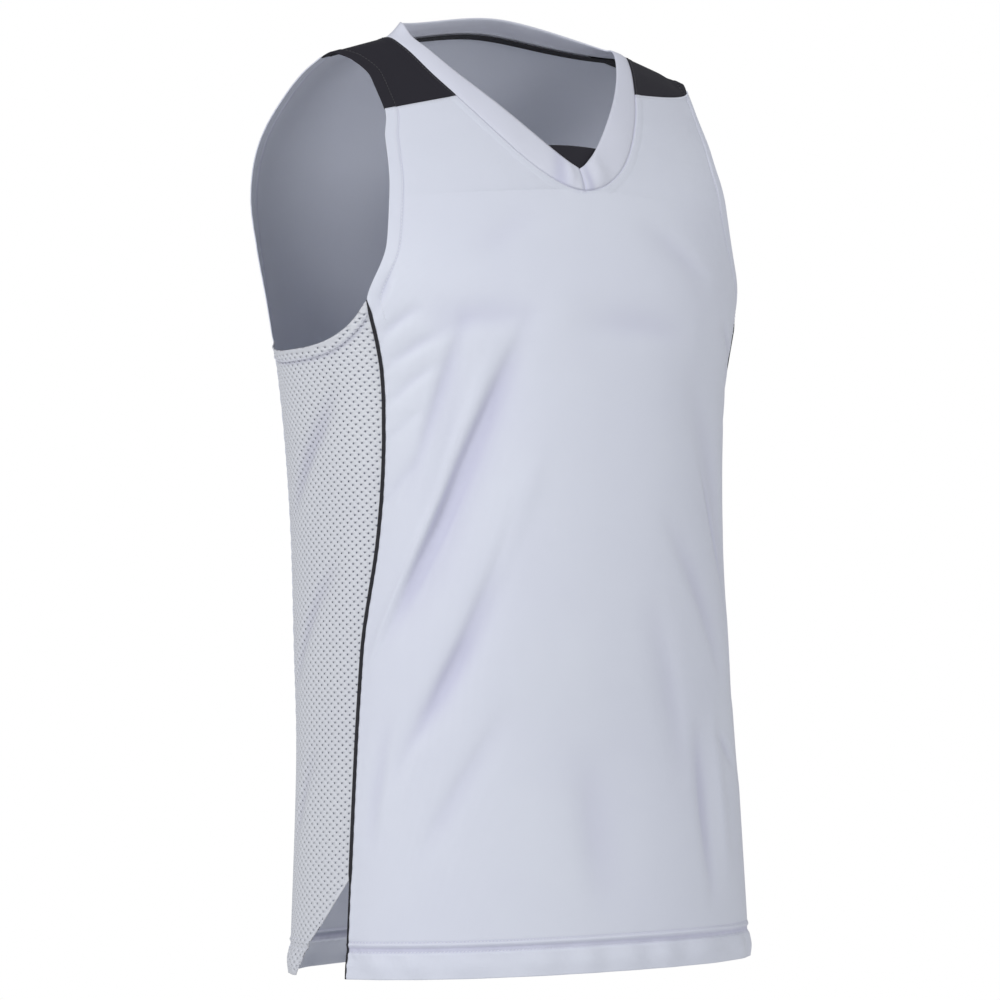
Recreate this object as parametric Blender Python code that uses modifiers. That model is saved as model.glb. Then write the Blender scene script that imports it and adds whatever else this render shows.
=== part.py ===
"""Basketball jersey, filled out as if worn: a hollow sleeveless shell of cut and sewn panels.

Metres, +Z up. The front faces -Y and the wearer's right is -X. The origin is at the top of the
shoulders, midway between them, where the wearer holds the garment up.
"""
import bpy
import numpy as np

# ---- driving sizes -------------------------------------------------------------------------
CLOTH = 0.0014          # wall thickness of the knit
GAP = 0.0003            # room between two pieces that meet
BODY_LENGTH = 0.785     # shoulder to hem
SHOULDER_SLOPE = 0.30   # fall of the shoulder for each metre outwards
NECK_HALF = 0.1275      # neck seam to the middle, at the top of the shoulder
NECK_ROUND = 0.050      # rounds the slope over behind the neck
UNDERARM = -0.229       # height of the top of the front side seam
VENT_TOP = -0.702       # height where the side vent opens
VENT_SLANT = 25.0       # degrees that the side panel's front edge runs back below the vent
YOKE_FRONT = -0.060     # nominal height of the right yoke's front seam
LEFT_YOKE_FRONT = (-0.044, -0.006)    # the left yoke's front seam slants: its neck end, its arm end
YOKE_BACK = -0.003      # nominal height of the yoke's back seam, just behind the ridge
LEFT_SEAM_BACK = 5.0    # degrees that the left front seam lies further back than the right one
ARM_SCOOP = 0.037       # how far the armhole dips below the top of the side seam
ARM_SCOOP_RISE = 0.012  # how far it climbs again at the back seam
SCOOP_START = -0.280    # height of the last level row of the side panels
PIPING_RADIUS = 0.0014
PIPING_EDGE_RADIUS = 0.0009   # where the piping only binds the edge of the vent
TAPE_WIDTH = 0.006
INSERT_LAY = 0.0021     # from the middle of the band's cloth to the middle of the insert's
TAPE_LAY = 0.0024       # the same for the tape inside the back neck
COLLAR_LIFT = 0.010     # how much the collar stands up at the top of the shoulder
LEFT_LOWER = 0.90       # share of that which the left shoulder lacks
COLLAR_STAND = 0.4      # levels each side of the ridge over which it stands up
INSERT_BOTTOM = -0.134  # nominal heights of the insert behind the V
INSERT_TOP = -0.1045
INSERT_SHARE = 0.66     # its half width as a share of the neck seam's
TAPE_START = 14.0       # degrees from the shoulder ridge to the end of the neck tape
TAPE_LEVELS = 0.12      # the tape's width in levels, at the middle of the back

# Rings of the body from the hem up to the ridge of the shoulders.
# height, half width, front depth, back depth, side line, squareness, share of the shoulder slope
SECTIONS = np.array((
    (-BODY_LENGTH, 0.215, 0.137, 0.137, -0.011, 2.25, 0.00),
    (-0.615, 0.206, 0.133, 0.133, -0.011, 2.25, 0.00),
    (-0.515, 0.199, 0.142, 0.142, -0.006, 2.25, 0.00),
    (-0.406, 0.194, 0.149, 0.148, 0.000, 2.25, 0.00),
    (-0.307, 0.201, 0.149, 0.148, 0.002, 2.25, 0.00),
    (-0.226, 0.219, 0.139, 0.146, -0.002, 2.25, 0.05),
    (-0.171, 0.236, 0.123, 0.143, 0.000, 2.20, 0.15),
    (-0.122, 0.246, 0.107, 0.133, 0.002, 2.35, 0.35),
    (-0.077, 0.246, 0.082, 0.110, 0.004, 2.50, 0.65),
    (-0.041, 0.238, 0.055, 0.080, 0.003, 2.45, 0.85),
    (-0.012, 0.222, 0.027, 0.044, -0.002, 2.30, 0.96),
    (0.000, 0.200, 0.000, 0.000, -0.008, 2.20, 1.00),
))
RIDGE = len(SECTIONS) - 1

# Seams beside the front panel and behind the side panel: height, front angle, back angle
SIDE_SEAMS = np.array((
    (-BODY_LENGTH, 77.0, 120.0), (-0.628, 75.5, 120.0), (-0.523, 74.0, 120.0),
    (-0.428, 68.5, 120.0), (-0.343, 64.5, 120.0), (-0.276, 62.5, 120.0), (UNDERARM, 63.0, 120.0),
))
# Armhole edges: height, half width across the front, half width across the back
ARMHOLE = np.array((
    (-0.262, 0.193, 0.188), (UNDERARM, 0.1970, 0.194), (-0.181, 0.185, 0.197),
    (-0.133, 0.180, 0.199), (-0.086, 0.173, 0.199), (YOKE_FRONT, 0.164, 0.198),
    (-0.030, 0.163, 0.193), (-0.010, 0.172, 0.188), (0.000, 0.184, 0.184),
))
# the left one, whose shoulder lies flatter
LEFT_ARMHOLE = np.array((
    (-0.262, 0.193, 0.188), (UNDERARM, 0.2010, 0.194), (-0.181, 0.187, 0.197),
    (-0.133, 0.180, 0.199), (-0.100, 0.180, 0.199), (-0.066, 0.185, 0.198),
    (-0.030, 0.191, 0.197), (-0.010, 0.194, 0.196), (0.000, 0.195, 0.195),
))
# Neck curves: half width, front height, back height, roundness of the front point, sweep
NECK_SEAM = (NECK_HALF, -0.1405, -0.008, 0.52, 1.6)
NECK_EDGE = (0.1120, -0.1235, -0.0022, 0.80, 1.8)

# Largest folds: start angle, start height, end angle, end height, depth, breadth
FOLDS = np.array((
    (-36.0, -0.250, -52.0, -0.430, -0.0030, 0.016),
    (-22.0, -0.270, -60.0, -0.520, -0.0045, 0.020),
    (-30.0, -0.450, -52.0, -0.600, -0.0025, 0.018),
    (24.0, -0.280, 58.0, -0.500, -0.0040, 0.020),
    (52.0, -0.420, 60.0, -0.640, -0.0030, 0.018),
    (150.0, -0.300, 128.0, -0.520, -0.0035, 0.022),
    (-152.0, -0.320, -130.0, -0.560, -0.0035, 0.022),
    (176.0, -0.400, 160.0, -0.600, -0.0025, 0.024),
))
FOLD_RADIUS = 0.185     # turns an angle round the body into a length for the folds

FRONT_COLUMNS = 12      # across half of the front, and across a yoke
BACK_COLUMNS = 14
NECK_COLUMNS = 8        # of the back columns, those under the neck
SIDE_COLUMNS = 6
YOKE_ROWS = 8
COLLAR_ROWS = 3
V_ROWS = 8
LOW_HEIGHTS = (-BODY_LENGTH, -0.757, -0.730, VENT_TOP, -0.665, -0.625, -0.585, -0.545, -0.505,
               -0.465, -0.425, -0.385, -0.345, -0.310, SCOOP_START)
SCOOP_RISE = np.array((1 / 3, 2 / 3, 1))    # rows from there to the edge under the arm
SEAM_HEIGHTS = LOW_HEIGHTS + tuple(SCOOP_START + (UNDERARM - SCOOP_START) * SCOOP_RISE)
CHEST_HEIGHTS = (-0.203, -0.180, -0.160)


# ---- the surface that every panel is cut from ----------------------------------------------
def section(level):
    """Row values at a level, by a Catmull-Rom curve through the rows; above the ridge it turns back."""
    above = SECTIONS[-2].copy()
    above[2:4] *= -1
    rows = np.vstack([2 * SECTIONS[0] - SECTIONS[1], SECTIONS, above])
    low = np.clip(np.floor(level).astype(int), 0, RIDGE - 1)
    part = (level - low)[..., None]
    a, b, c, d = (rows[low + k] for k in range(4))
    bend = (2 * a - 5 * b + 4 * c - d) * part**2 + (3 * b - a - 3 * c + d) * part**3
    return 0.5 * (2 * b + (c - a) * part + bend)


LEVELS = np.linspace(0, RIDGE, 2201)
HEIGHTS = section(LEVELS)[:, 0]


def level_of(height):
    """The level whose ring has this nominal height."""
    return np.interp(height, HEIGHTS, LEVELS)


def smooth(table, column, height):
    """A column of a table at a height, on a curve that doesn't swing past the rows."""
    x, y = table[:, 0], table[:, column]
    step = np.diff(y) / np.diff(x)
    slope = np.zeros(len(x))
    same = step[1:] * step[:-1] > 0
    slope[1:-1][same] = 2 * step[1:][same] * step[:-1][same] / (step[1:] + step[:-1])[same]
    slope[0], slope[-1] = step[0], step[-1]
    height = np.clip(height, x[0], x[-1])
    k = np.clip(np.searchsorted(x, height, side="right") - 1, 0, len(x) - 2)
    width = x[k + 1] - x[k]
    u = (height - x[k]) / width
    start, end = y[k] * (1 + 2 * u) * (1 - u) ** 2, y[k + 1] * u * u * (3 - 2 * u)
    return start + end + width * (slope[k] * u * (1 - u) ** 2 - slope[k + 1] * u * u * (1 - u))


def fold_depth(angle, height):
    """How far the cloth stands out or in: each fold is a soft furrow along its own line."""
    around = angle[..., None] * FOLD_RADIUS
    up = height[..., None]
    start = np.radians(FOLDS[:, 0]) * FOLD_RADIUS
    run, rise = np.radians(FOLDS[:, 2]) * FOLD_RADIUS - start, FOLDS[:, 3] - FOLDS[:, 1]
    length = np.hypot(run, rise)
    along = ((around - start) * run + (up - FOLDS[:, 1]) * rise) / length**2
    across = ((around - start) * rise - (up - FOLDS[:, 1]) * run) / length
    fade = np.clip(1 - (2 * along - 1) ** 2, 0, 1)
    return (FOLDS[:, 4] * fade * np.exp(-((across / FOLDS[:, 5]) ** 2))).sum(-1)


def point(angle, level, out=0.0):
    """A point of the body, by angle from the middle of the front and by level, moved outwards."""
    angle, level = np.broadcast_arrays(np.asarray(angle, float), np.asarray(level, float))
    height, wide, front, back, side, square, share = np.moveaxis(section(level), -1, 0)
    deep = np.where(np.abs(angle) <= np.pi / 2, front, back)
    x = wide * np.sign(np.sin(angle)) * np.abs(np.sin(angle)) ** (2 / square)
    y = side - deep * np.sign(np.cos(angle)) * np.abs(np.cos(angle)) ** (2 / square)
    z = height - share * SHOULDER_SLOPE * (np.hypot(x, NECK_ROUND) - NECK_HALF)
    flat = np.stack([np.sin(angle) * np.maximum(deep, 1e-6), -np.cos(angle) * wide], -1)
    flat /= np.linalg.norm(flat, axis=-1, keepdims=True)
    push = fold_depth(angle, height) * np.clip((-0.20 - height) / 0.05, 0, 1)
    spot = np.stack([x, y, z], -1)
    spot[..., :2] += flat * push[..., None]
    if np.any(out):
        spot = spot + normal(angle, level) * np.asarray(out)[..., None]
    return spot


def normal(angle, level):
    """The outward direction, from two short steps on the surface."""
    step = 1e-3
    around = point(angle + step, level) - point(angle - step, level)
    up = point(angle, np.minimum(level + step, RIDGE)) - point(angle, level - step)
    cross = np.cross(around, up)
    return cross / np.linalg.norm(cross, axis=-1, keepdims=True)


def angle_at(x, level, behind=False):
    """The angle round the body at a half width x, in front or behind."""
    row = section(level)
    angle = np.arcsin(np.clip(x / row[..., 1], 0, 1) ** (row[..., 5] / 2))
    return np.where(behind, np.pi - angle, angle)


def over_shoulder(x, turn, out=0.0):
    """A point at half width x on the strip over the shoulder.

    turn is the level in front, and twice the ridge less the level behind.
    """
    x, turn = np.broadcast_arrays(np.asarray(x, float), np.asarray(turn, float))
    behind = turn > RIDGE
    level = np.where(behind, 2 * RIDGE - turn, turn)
    spot = point(angle_at(x, level, behind), level)
    if not np.any(out):
        return spot
    step = 2e-3
    across = over_shoulder(x + step, turn) - over_shoulder(x - step, turn)
    up = over_shoulder(x, turn + step) - over_shoulder(x, turn - step)
    cross = np.cross(across, up)
    return spot + cross / np.linalg.norm(cross, axis=-1, keepdims=True) * np.asarray(out)[..., None]


def neck_width(curve, turn):
    """Half width of a neck curve at a turn over the shoulder, from the front point to the back."""
    wide, front, back, roundness, sweep = curve
    low, behind = level_of(front), RIDGE - level_of(back)
    part = np.clip((turn - low) / (RIDGE - low), 0, 1)
    ahead = (1 - (1 - part) ** sweep) ** roundness
    rear = np.sqrt(np.clip(1 - (np.clip(turn - RIDGE, 0, behind) / behind) ** 2, 0, 1))
    return wide * np.where(turn > RIDGE, rear, ahead)


def armhole(side, height, behind=False):
    """Half width of the armhole edge at a height. side is 1 on the wearer's left and -1 on the right."""
    return smooth(LEFT_ARMHOLE if side > 0 else ARMHOLE, 2 if behind else 1, height)


def front_seam(side, height):
    """Angle of the seam beside the front panel."""
    back = (LEFT_SEAM_BACK if side > 0 else 0) * np.exp(-(((height + 0.32) / 0.12) ** 2))
    return np.radians(smooth(SIDE_SEAMS, 1, height) + back)


def edge_angle(side, height, behind=False):
    """Angle of the panel's side edge: the side seam below the underarm, the armhole above it."""
    seam = np.radians(smooth(SIDE_SEAMS, 2, height)) if behind else front_seam(side, height)
    hole = angle_at(armhole(side, height, behind), level_of(height), behind)
    return np.where(height <= (ARM_BACK if behind else UNDERARM) + 1e-9, seam, hole)


ARM_BACK = UNDERARM - ARM_SCOOP + ARM_SCOOP_RISE


# ---- meshes --------------------------------------------------------------------------------
def pulled(grid, rows=(True, True), columns=(True, True)):
    """The grid with the edges that meet a neighbour drawn in by half the gap."""
    grid = grid.copy()
    for flags, axis in ((rows, 0), (columns, 1)):
        turned = np.swapaxes(grid, 0, axis)
        for flag, edge, inner in ((flags[0], 0, 1), (flags[1], -1, -2)):
            if flag:
                step = turned[inner] - turned[edge]
                long = np.linalg.norm(step, axis=-1, keepdims=True)
                turned[edge] += step / np.maximum(long, 1e-9) * GAP / 2
    return grid


def cloth_object(name, grids, material, collection, flip=False):
    """A sheet of cloth from its half, or its left and right halves, thickened both ways by Solidify."""
    rows, columns = grids[0].shape[:2]
    index = np.arange(rows * columns).reshape(rows, columns)
    half = np.stack([index[:-1, :-1], index[:-1, 1:], index[1:, 1:], index[1:, :-1]], -1)
    half = half.reshape(-1, 4)[:, ::-1] if flip else half.reshape(-1, 4)
    faces = [half, half[:, ::-1] + rows * columns][: len(grids)]
    mesh = bpy.data.meshes.new(name)
    mesh.from_pydata(np.concatenate(grids).reshape(-1, 3).tolist(), [], np.concatenate(faces).tolist())
    mesh.materials.append(material)
    mesh.shade_smooth()
    cloth = bpy.data.objects.new(name, mesh)
    collection.objects.link(cloth)
    if len(grids) > 1:
        joined = cloth.modifiers.new("Weld", "WELD")
        joined.merge_threshold = 0.00005
    wall = cloth.modifiers.new("Solidify", "SOLIDIFY")
    wall.thickness = CLOTH
    wall.offset = 0
    return cloth


def plain_material(name, colour, roughness):
    material = bpy.data.materials.new(name)
    material.use_nodes = True
    shader = material.node_tree.nodes["Principled BSDF"]
    shader.inputs["Base Color"].default_value = (*colour, 1)
    shader.inputs["Roughness"].default_value = roughness
    shader.inputs["Metallic"].default_value = 0.0
    return material


# ---- panels --------------------------------------------------------------------------------
def yoke_front(side):
    """Levels of the yoke's front seam, across the columns from the neck to the armhole."""
    neck, arm = LEFT_YOKE_FRONT if side > 0 else (YOKE_FRONT, YOKE_FRONT)
    return level_of(neck + (arm - neck) * np.linspace(0, 1, FRONT_COLUMNS + 1))


def v_turns(side):
    """Levels of the rows beside the V, closer together near its point, then spread to the seam."""
    low, part = level_of(NECK_SEAM[1]), np.linspace(0, 1, FRONT_COLUMNS + 1)
    rise = (np.arange(V_ROWS + 1) / V_ROWS)[:, None] ** (2 - part)
    return low + (yoke_front(side) - low) * rise


def front_panel(side):
    """Half of the front: hem to underarm, up the armhole, and beside the V to the yoke."""
    low = level_of(np.array(SEAM_HEIGHTS + CHEST_HEIGHTS))
    levels = np.concatenate([np.repeat(low[:, None], FRONT_COLUMNS + 1, 1), v_turns(side)])
    inner = angle_at(neck_width(NECK_SEAM, levels[:, 0]), levels[:, 0])
    inner[levels[:, 0] <= level_of(NECK_SEAM[1]) + 1e-6] = 0
    outer = edge_angle(side, np.interp(levels[:, -1], LEVELS, HEIGHTS))
    part = np.linspace(0, 1, FRONT_COLUMNS + 1)
    angle = inner[:, None] + (outer - inner)[:, None] * part
    grid = point(side * angle, levels)
    below = pulled(grid, rows=(False, True), columns=(False, True))
    beside = pulled(grid, rows=(False, True), columns=(True, True))
    open_neck = (inner > 0)[:, None, None]
    grid = np.where(open_neck, beside, below)
    grid[inner == 0, 0, 0] = 0
    grid[-V_ROWS - 1, 0, 2] -= GAP / 2
    return grid


def back_top(side):
    """Half width and level of the back panel's top edge: under the neck, then along the yoke."""
    deep, seam = RIDGE - level_of(NECK_SEAM[2]), RIDGE - level_of(YOKE_BACK)
    turn = np.arccos(seam / deep) * np.arange(NECK_COLUMNS + 1) / NECK_COLUMNS
    neck_levels = RIDGE - deep * np.cos(turn)
    neck_x = NECK_SEAM[0] * np.sin(turn)
    part = np.arange(1, BACK_COLUMNS - NECK_COLUMNS + 1) / (BACK_COLUMNS - NECK_COLUMNS)
    yoke_x = neck_x[-1] + (armhole(side, YOKE_BACK, True) - neck_x[-1]) * part
    levels = np.concatenate([neck_levels, np.full(len(part), RIDGE - seam)])
    return np.concatenate([neck_x, yoke_x]), levels


def back_panel(side):
    """Half of the back: columns run from the hem to the neck curve and the yoke's back seam."""
    scoop = SCOOP_START + (ARM_BACK - SCOOP_START) * SCOOP_RISE
    low = level_of(np.concatenate([LOW_HEIGHTS, scoop]))
    top_x, top_levels = back_top(side)
    rise = np.linspace(0, 1, 10)[1:, None]
    high = low[-1] + (top_levels[None] - low[-1]) * rise
    levels = np.concatenate([np.repeat(low[:, None], BACK_COLUMNS + 1, 1), high])
    heights = np.interp(levels, LEVELS, HEIGHTS)
    edge = np.pi - edge_angle(side, heights, behind=True)
    part = np.linspace(0, 1, BACK_COLUMNS + 1)
    top_angle = np.pi - angle_at(top_x, top_levels, behind=True)
    blend = np.concatenate([np.zeros(len(low)), rise[:, 0] ** 2])[:, None]
    share = part * (1 - blend) + top_angle / edge[-1] * blend
    grid = point(side * (np.pi - edge * share), levels)
    grid = pulled(grid, rows=(False, True), columns=(False, True))
    grid[:, 0, 0] = 0
    return grid[:, ::-1]


def side_front_angle(side, height):
    """Front edge of the side panel: the seam, then slanting back below the vent."""
    drop = np.clip((VENT_TOP - height) / (VENT_TOP + BODY_LENGTH), 0, 1)
    return front_seam(side, height) + np.radians(VENT_SLANT * drop)


def side_panel(side):
    """From the hem to the scoop under the arm, between the front and back side seams."""
    low = np.array(LOW_HEIGHTS)
    part = np.linspace(0, 1, SIDE_COLUMNS + 1)
    scoop = UNDERARM - ARM_SCOOP * (1 - (1 - part) ** 5) + ARM_SCOOP_RISE * part**6
    high = SCOOP_START + (scoop - SCOOP_START) * SCOOP_RISE[:, None]
    heights = np.concatenate([np.repeat(low[:, None], SIDE_COLUMNS + 1, 1), high])
    start = side_front_angle(side, heights)
    angle = start + (np.radians(smooth(SIDE_SEAMS, 2, heights)) - start) * part
    return pulled(point(side * angle, level_of(heights)), rows=(False, False))


def yoke_turns(side):
    start, end = yoke_front(side), 2 * RIDGE - level_of(YOKE_BACK)
    return start + (end - start) * np.linspace(0, 1, YOKE_ROWS + 1)[:, None]


def armhole_width(side, turn):
    """Half width of the armhole edge over the shoulder."""
    height = np.interp(np.where(turn > RIDGE, 2 * RIDGE - turn, turn), LEVELS, HEIGHTS)
    return np.where(turn > RIDGE, armhole(side, height, True), armhole(side, height))


def yoke(side):
    """From the neck seam to the armhole, over the ridge of the shoulder."""
    turn = yoke_turns(side)
    inner, outer = neck_width(NECK_SEAM, turn[:, 0]), armhole_width(side, turn[:, -1])
    part = np.linspace(0, 1, FRONT_COLUMNS + 1)
    start = angle_at(inner[0], turn[0, 0]) * (1 - part) + angle_at(outer[0], turn[0, -1]) * part
    front_share = (over_shoulder_width(start, turn[0]) - inner[0]) / (outer[0] - inner[0])
    blend = np.linspace(0, 1, YOKE_ROWS + 1)[:, None]
    share = front_share * (1 - blend) + part * blend
    x = inner[:, None] + (outer - inner)[:, None] * share
    return pulled(over_shoulder(x, turn), columns=(True, False)) * (side, 1, 1)


def over_shoulder_width(angle, level):
    """Half width at an angle in front."""
    row = section(np.asarray(level, float))
    return row[..., 1] * np.sin(angle) ** (2 / row[..., 5])


def length_shares(curve, turns):
    """Share of a neck curve's own length reached at each turn."""
    spots = over_shoulder(neck_width(curve, turns), turns)
    long = np.concatenate([[0], np.cumsum(np.linalg.norm(np.diff(spots, axis=0), axis=1))])
    return long / long[-1]


def collar_stations(side):
    """Turns along the seam of the collar, shared with the panels, and their partners on its edge."""
    back_turns = 2 * RIDGE - back_top(side)[1][: NECK_COLUMNS + 1][::-1]
    seam = np.concatenate([v_turns(side)[:, 0], yoke_turns(side)[1:, 0], back_turns[1:]])
    low, high = level_of(NECK_EDGE[1]), 2 * RIDGE - level_of(NECK_EDGE[2])
    fine = low + (high - low) * np.linspace(0, 1, 801) ** 1.5
    share = length_shares(NECK_EDGE, fine)
    return seam, np.interp(length_shares(NECK_SEAM, seam), share, fine)


def collar_band(side):
    """Half of the collar: from the mitre at the front, over the shoulder, to the middle back."""
    seam, edge = collar_stations(side)
    part = np.linspace(0, 1, COLLAR_ROWS + 1)[:, None]
    x = neck_width(NECK_SEAM, seam) * (1 - part) + neck_width(NECK_EDGE, edge) * part
    turn = seam * (1 - part) + edge * part
    grid = over_shoulder(x, turn)
    lift = COLLAR_LIFT * (1 - (LEFT_LOWER if side > 0 else 0) * (x / NECK_EDGE[0]) ** 2)
    grid[..., 2] += lift * part**2 * np.exp(-(((turn - RIDGE) / COLLAR_STAND) ** 2))
    grid = pulled(grid, rows=(True, False), columns=(False, False))
    grid[:, 0, 0] = 0
    grid[:, -1, 0] = 0
    return grid * (side, 1, 1)


def neck_insert(side):
    """Half of the piece behind the point of the V, its sides hidden by the collar."""
    turn = level_of(np.linspace(INSERT_BOTTOM, INSERT_TOP, 7))[:, None]
    part = np.linspace(0, 1, 6)
    x = neck_width(NECK_SEAM, turn) * INSERT_SHARE * part
    grid = over_shoulder(x, turn, np.full(x.shape, -INSERT_LAY))
    grid[:, 0, 0] = 0
    return grid * (side, 1, 1)


def neck_tape(side):
    """Half of the tape that covers the inside of the collar seam behind the neck."""
    deep = RIDGE - level_of(NECK_SEAM[2])
    sweep = np.radians(np.linspace(TAPE_START, 90, 13))
    down = np.linspace(0, 1, 3)[:, None]
    x = (NECK_SEAM[0] + TAPE_WIDTH * down) * np.cos(sweep)
    turn = RIDGE + (deep + TAPE_LEVELS * down) * np.sin(sweep)
    grid = over_shoulder(x, turn, np.full(x.shape, -TAPE_LAY))
    grid[:, -1, 0] = 0
    return grid * (side, 1, 1)


def piping(name, side, material, collection):
    """A cord along the front side seam, thinner where it only binds the vent's edge."""
    heights = np.array(SEAM_HEIGHTS)
    angle = side * front_seam(side, heights)
    stand = CLOTH / 2 + GAP + PIPING_RADIUS
    spots = point(angle, level_of(heights), np.full(len(heights), stand))
    curve = bpy.data.curves.new(name, "CURVE")
    curve.dimensions = "3D"
    curve.bevel_depth = PIPING_RADIUS
    curve.bevel_resolution = 1
    curve.use_fill_caps = True
    line = curve.splines.new("POLY")
    line.points.add(len(spots) - 1)
    for spot, place, height in zip(line.points, spots, heights):
        spot.co = (*place, 1)
        spot.radius = 1 if height > VENT_TOP - 0.001 else PIPING_EDGE_RADIUS / PIPING_RADIUS
    curve.materials.append(material)
    cord = bpy.data.objects.new(name, curve)
    collection.objects.link(cord)
    return cord


def main():
    for thing in list(bpy.data.objects):
        bpy.data.objects.remove(thing, do_unlink=True)
    jersey = bpy.data.collections.new("basketball_jersey")
    bpy.context.scene.collection.children.link(jersey)
    white = plain_material("white_knit", (0.62, 0.64, 0.72), 0.55)
    mesh_white = plain_material("white_mesh", (0.60, 0.61, 0.66), 0.65)
    rib = plain_material("white_rib", (0.62, 0.63, 0.71), 0.60)
    black = plain_material("black_knit", (0.022, 0.021, 0.028), 0.60)
    dark_tape = plain_material("black_tape", (0.020, 0.020, 0.024), 0.65)
    for name, half, material, flip in (
        ("front_panel", front_panel, white, False),
        ("back_panel", back_panel, white, False),
        ("collar_band", collar_band, rib, True),
        ("neck_insert", neck_insert, black, False),
        ("neck_tape", neck_tape, dark_tape, False),
    ):
        cloth_object(name, [half(1), half(-1)], material, jersey, flip)
    for side, word in ((-1, "right"), (1, "left")):
        cloth_object("side_panel_" + word, [side_panel(side)], mesh_white, jersey, flip=side < 0)
        cloth_object("shoulder_yoke_" + word, [yoke(side)], black, jersey, flip=side < 0)
        piping("piping_" + word, side, dark_tape, jersey)


main()
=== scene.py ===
# %% [markdown]
# # A basketball jersey, filled out as if worn
#
# A jersey is a few flat pieces of knit cloth sewn into a tube with four openings. Worn, the cloth takes
# the shape of the chest and hangs from it, and creases run from where it is tight to where it is loose.
# The script loads the jersey's solid model as a fixed frame, rebuilds each piece of cloth as a fine
# surface on the same shape, and adds what a solid model leaves out: creases, folded hems, pinholes,
# stitches and the look of each fabric.

import bpy
import bmesh
import numpy as np
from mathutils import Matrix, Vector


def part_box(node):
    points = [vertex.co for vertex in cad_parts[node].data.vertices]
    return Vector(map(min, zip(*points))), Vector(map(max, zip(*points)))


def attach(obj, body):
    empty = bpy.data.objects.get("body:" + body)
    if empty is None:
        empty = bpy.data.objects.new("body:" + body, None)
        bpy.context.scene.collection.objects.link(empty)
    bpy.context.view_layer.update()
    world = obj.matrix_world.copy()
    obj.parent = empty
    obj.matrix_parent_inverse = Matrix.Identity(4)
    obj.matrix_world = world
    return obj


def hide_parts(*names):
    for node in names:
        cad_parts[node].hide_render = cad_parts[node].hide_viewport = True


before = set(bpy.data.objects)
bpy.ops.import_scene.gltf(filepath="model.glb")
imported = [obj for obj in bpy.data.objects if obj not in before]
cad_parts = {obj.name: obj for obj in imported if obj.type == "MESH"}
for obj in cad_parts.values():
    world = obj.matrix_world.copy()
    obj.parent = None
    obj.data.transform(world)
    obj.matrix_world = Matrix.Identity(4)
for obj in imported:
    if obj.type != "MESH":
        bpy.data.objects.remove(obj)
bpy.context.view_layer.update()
print("nodes:", sorted(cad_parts))

# %% [markdown]
# ## The camera
#
# The view is three quarters from the front, on the wearer's right, and a little below the middle of the
# garment, so the lens looks slightly up. A long lens from almost four metres keeps the sides of the
# jersey nearly parallel, as a catalogue picture does. The camera is placed by its distance and its angle
# round the jersey, then turned until its own -Z axis points at the middle of the cloth.

# %% Camera
from math import radians, sin, cos
from mathutils import Quaternion, Vector

CAMERA_TURN = radians(-37.5)    # round the jersey, from straight in front
CAMERA_DISTANCE = 3.87
CAMERA_HEIGHT = -0.514
AIM = Vector((-0.0054, 0.0042, -0.390))
LENS = 162.8
TILT = radians(-0.9)            # the camera leans a little to one side

lens = bpy.data.cameras.new("camera")
lens.lens = LENS
lens.sensor_width = 36
lens.clip_start, lens.clip_end = 0.1, 100
camera = bpy.data.objects.new("camera", lens)
bpy.context.scene.collection.objects.link(camera)
camera.location = (sin(CAMERA_TURN) * CAMERA_DISTANCE, -cos(CAMERA_TURN) * CAMERA_DISTANCE, CAMERA_HEIGHT)
camera.rotation_mode = "QUATERNION"
look = (AIM - camera.location).to_track_quat("-Z", "Y")
camera.rotation_quaternion = look @ Quaternion((0, 0, 1), TILT)
bpy.context.scene.camera = camera
print("camera at", [round(x, 3) for x in camera.location])

# %% [markdown]
# ## The shape that all the cloth lies on
#
# The body of the jersey is a stack of rings, each a superellipse: an ellipse whose corners are squared
# off a little, |x/a|^n + |y/b|^n = 1. Each row of the table is one ring, and a Catmull-Rom curve runs
# smoothly from ring to ring, as a ship's skin runs over its ribs. The heights are sizes of the frame's
# pieces, so the surface lies exactly where the solid model does. The levels are numbered from 0 at the
# hem to the ridge of the shoulders, where front and back meet.

# %% Sizes of the garment
BODY_LENGTH = round(-float(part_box("front_panel")[0][2]), 3)
CLOTH = 0.0010          # one thickness of the knit, with its nap
GAP = 0.0002            # room between two pieces that meet
SHOULDER_SLOPE = 0.30   # fall of the shoulder for each metre outwards
NECK_HALF = 0.1275      # neck seam to the middle, at the top of the shoulder
NECK_ROUND = 0.050      # rounds the slope over behind the neck
UNDERARM = -0.229       # height of the top of the front side seam
VENT_TOP = -0.702       # height where the side vent opens
VENT_SLANT = 25.0       # degrees that the side panel's front edge runs back below the vent
YOKE_FRONT = -0.060     # height of the right yoke's front seam
LEFT_YOKE_FRONT = (-0.044, -0.006)      # the left yoke slants: neck end, arm end
YOKE_BACK = -0.003      # height of the yokes' back seam, just behind the ridge
LEFT_SEAM_BACK = 5.0    # degrees that the left front seam lies further back
ARM_SCOOP = 0.037       # how far the armhole dips below the top of the side seam
ARM_SCOOP_RISE = 0.012  # how far it climbs again at the back seam
ARM_BACK = UNDERARM - ARM_SCOOP + ARM_SCOOP_RISE
COLLAR_LIFT = 0.010     # how much the collar stands up at the top of the shoulder
COLLAR_STAND = 0.4      # levels each side of the ridge over which it stands up
LEFT_LOWER = 0.90       # share of the collar lift that the left shoulder lacks

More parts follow.
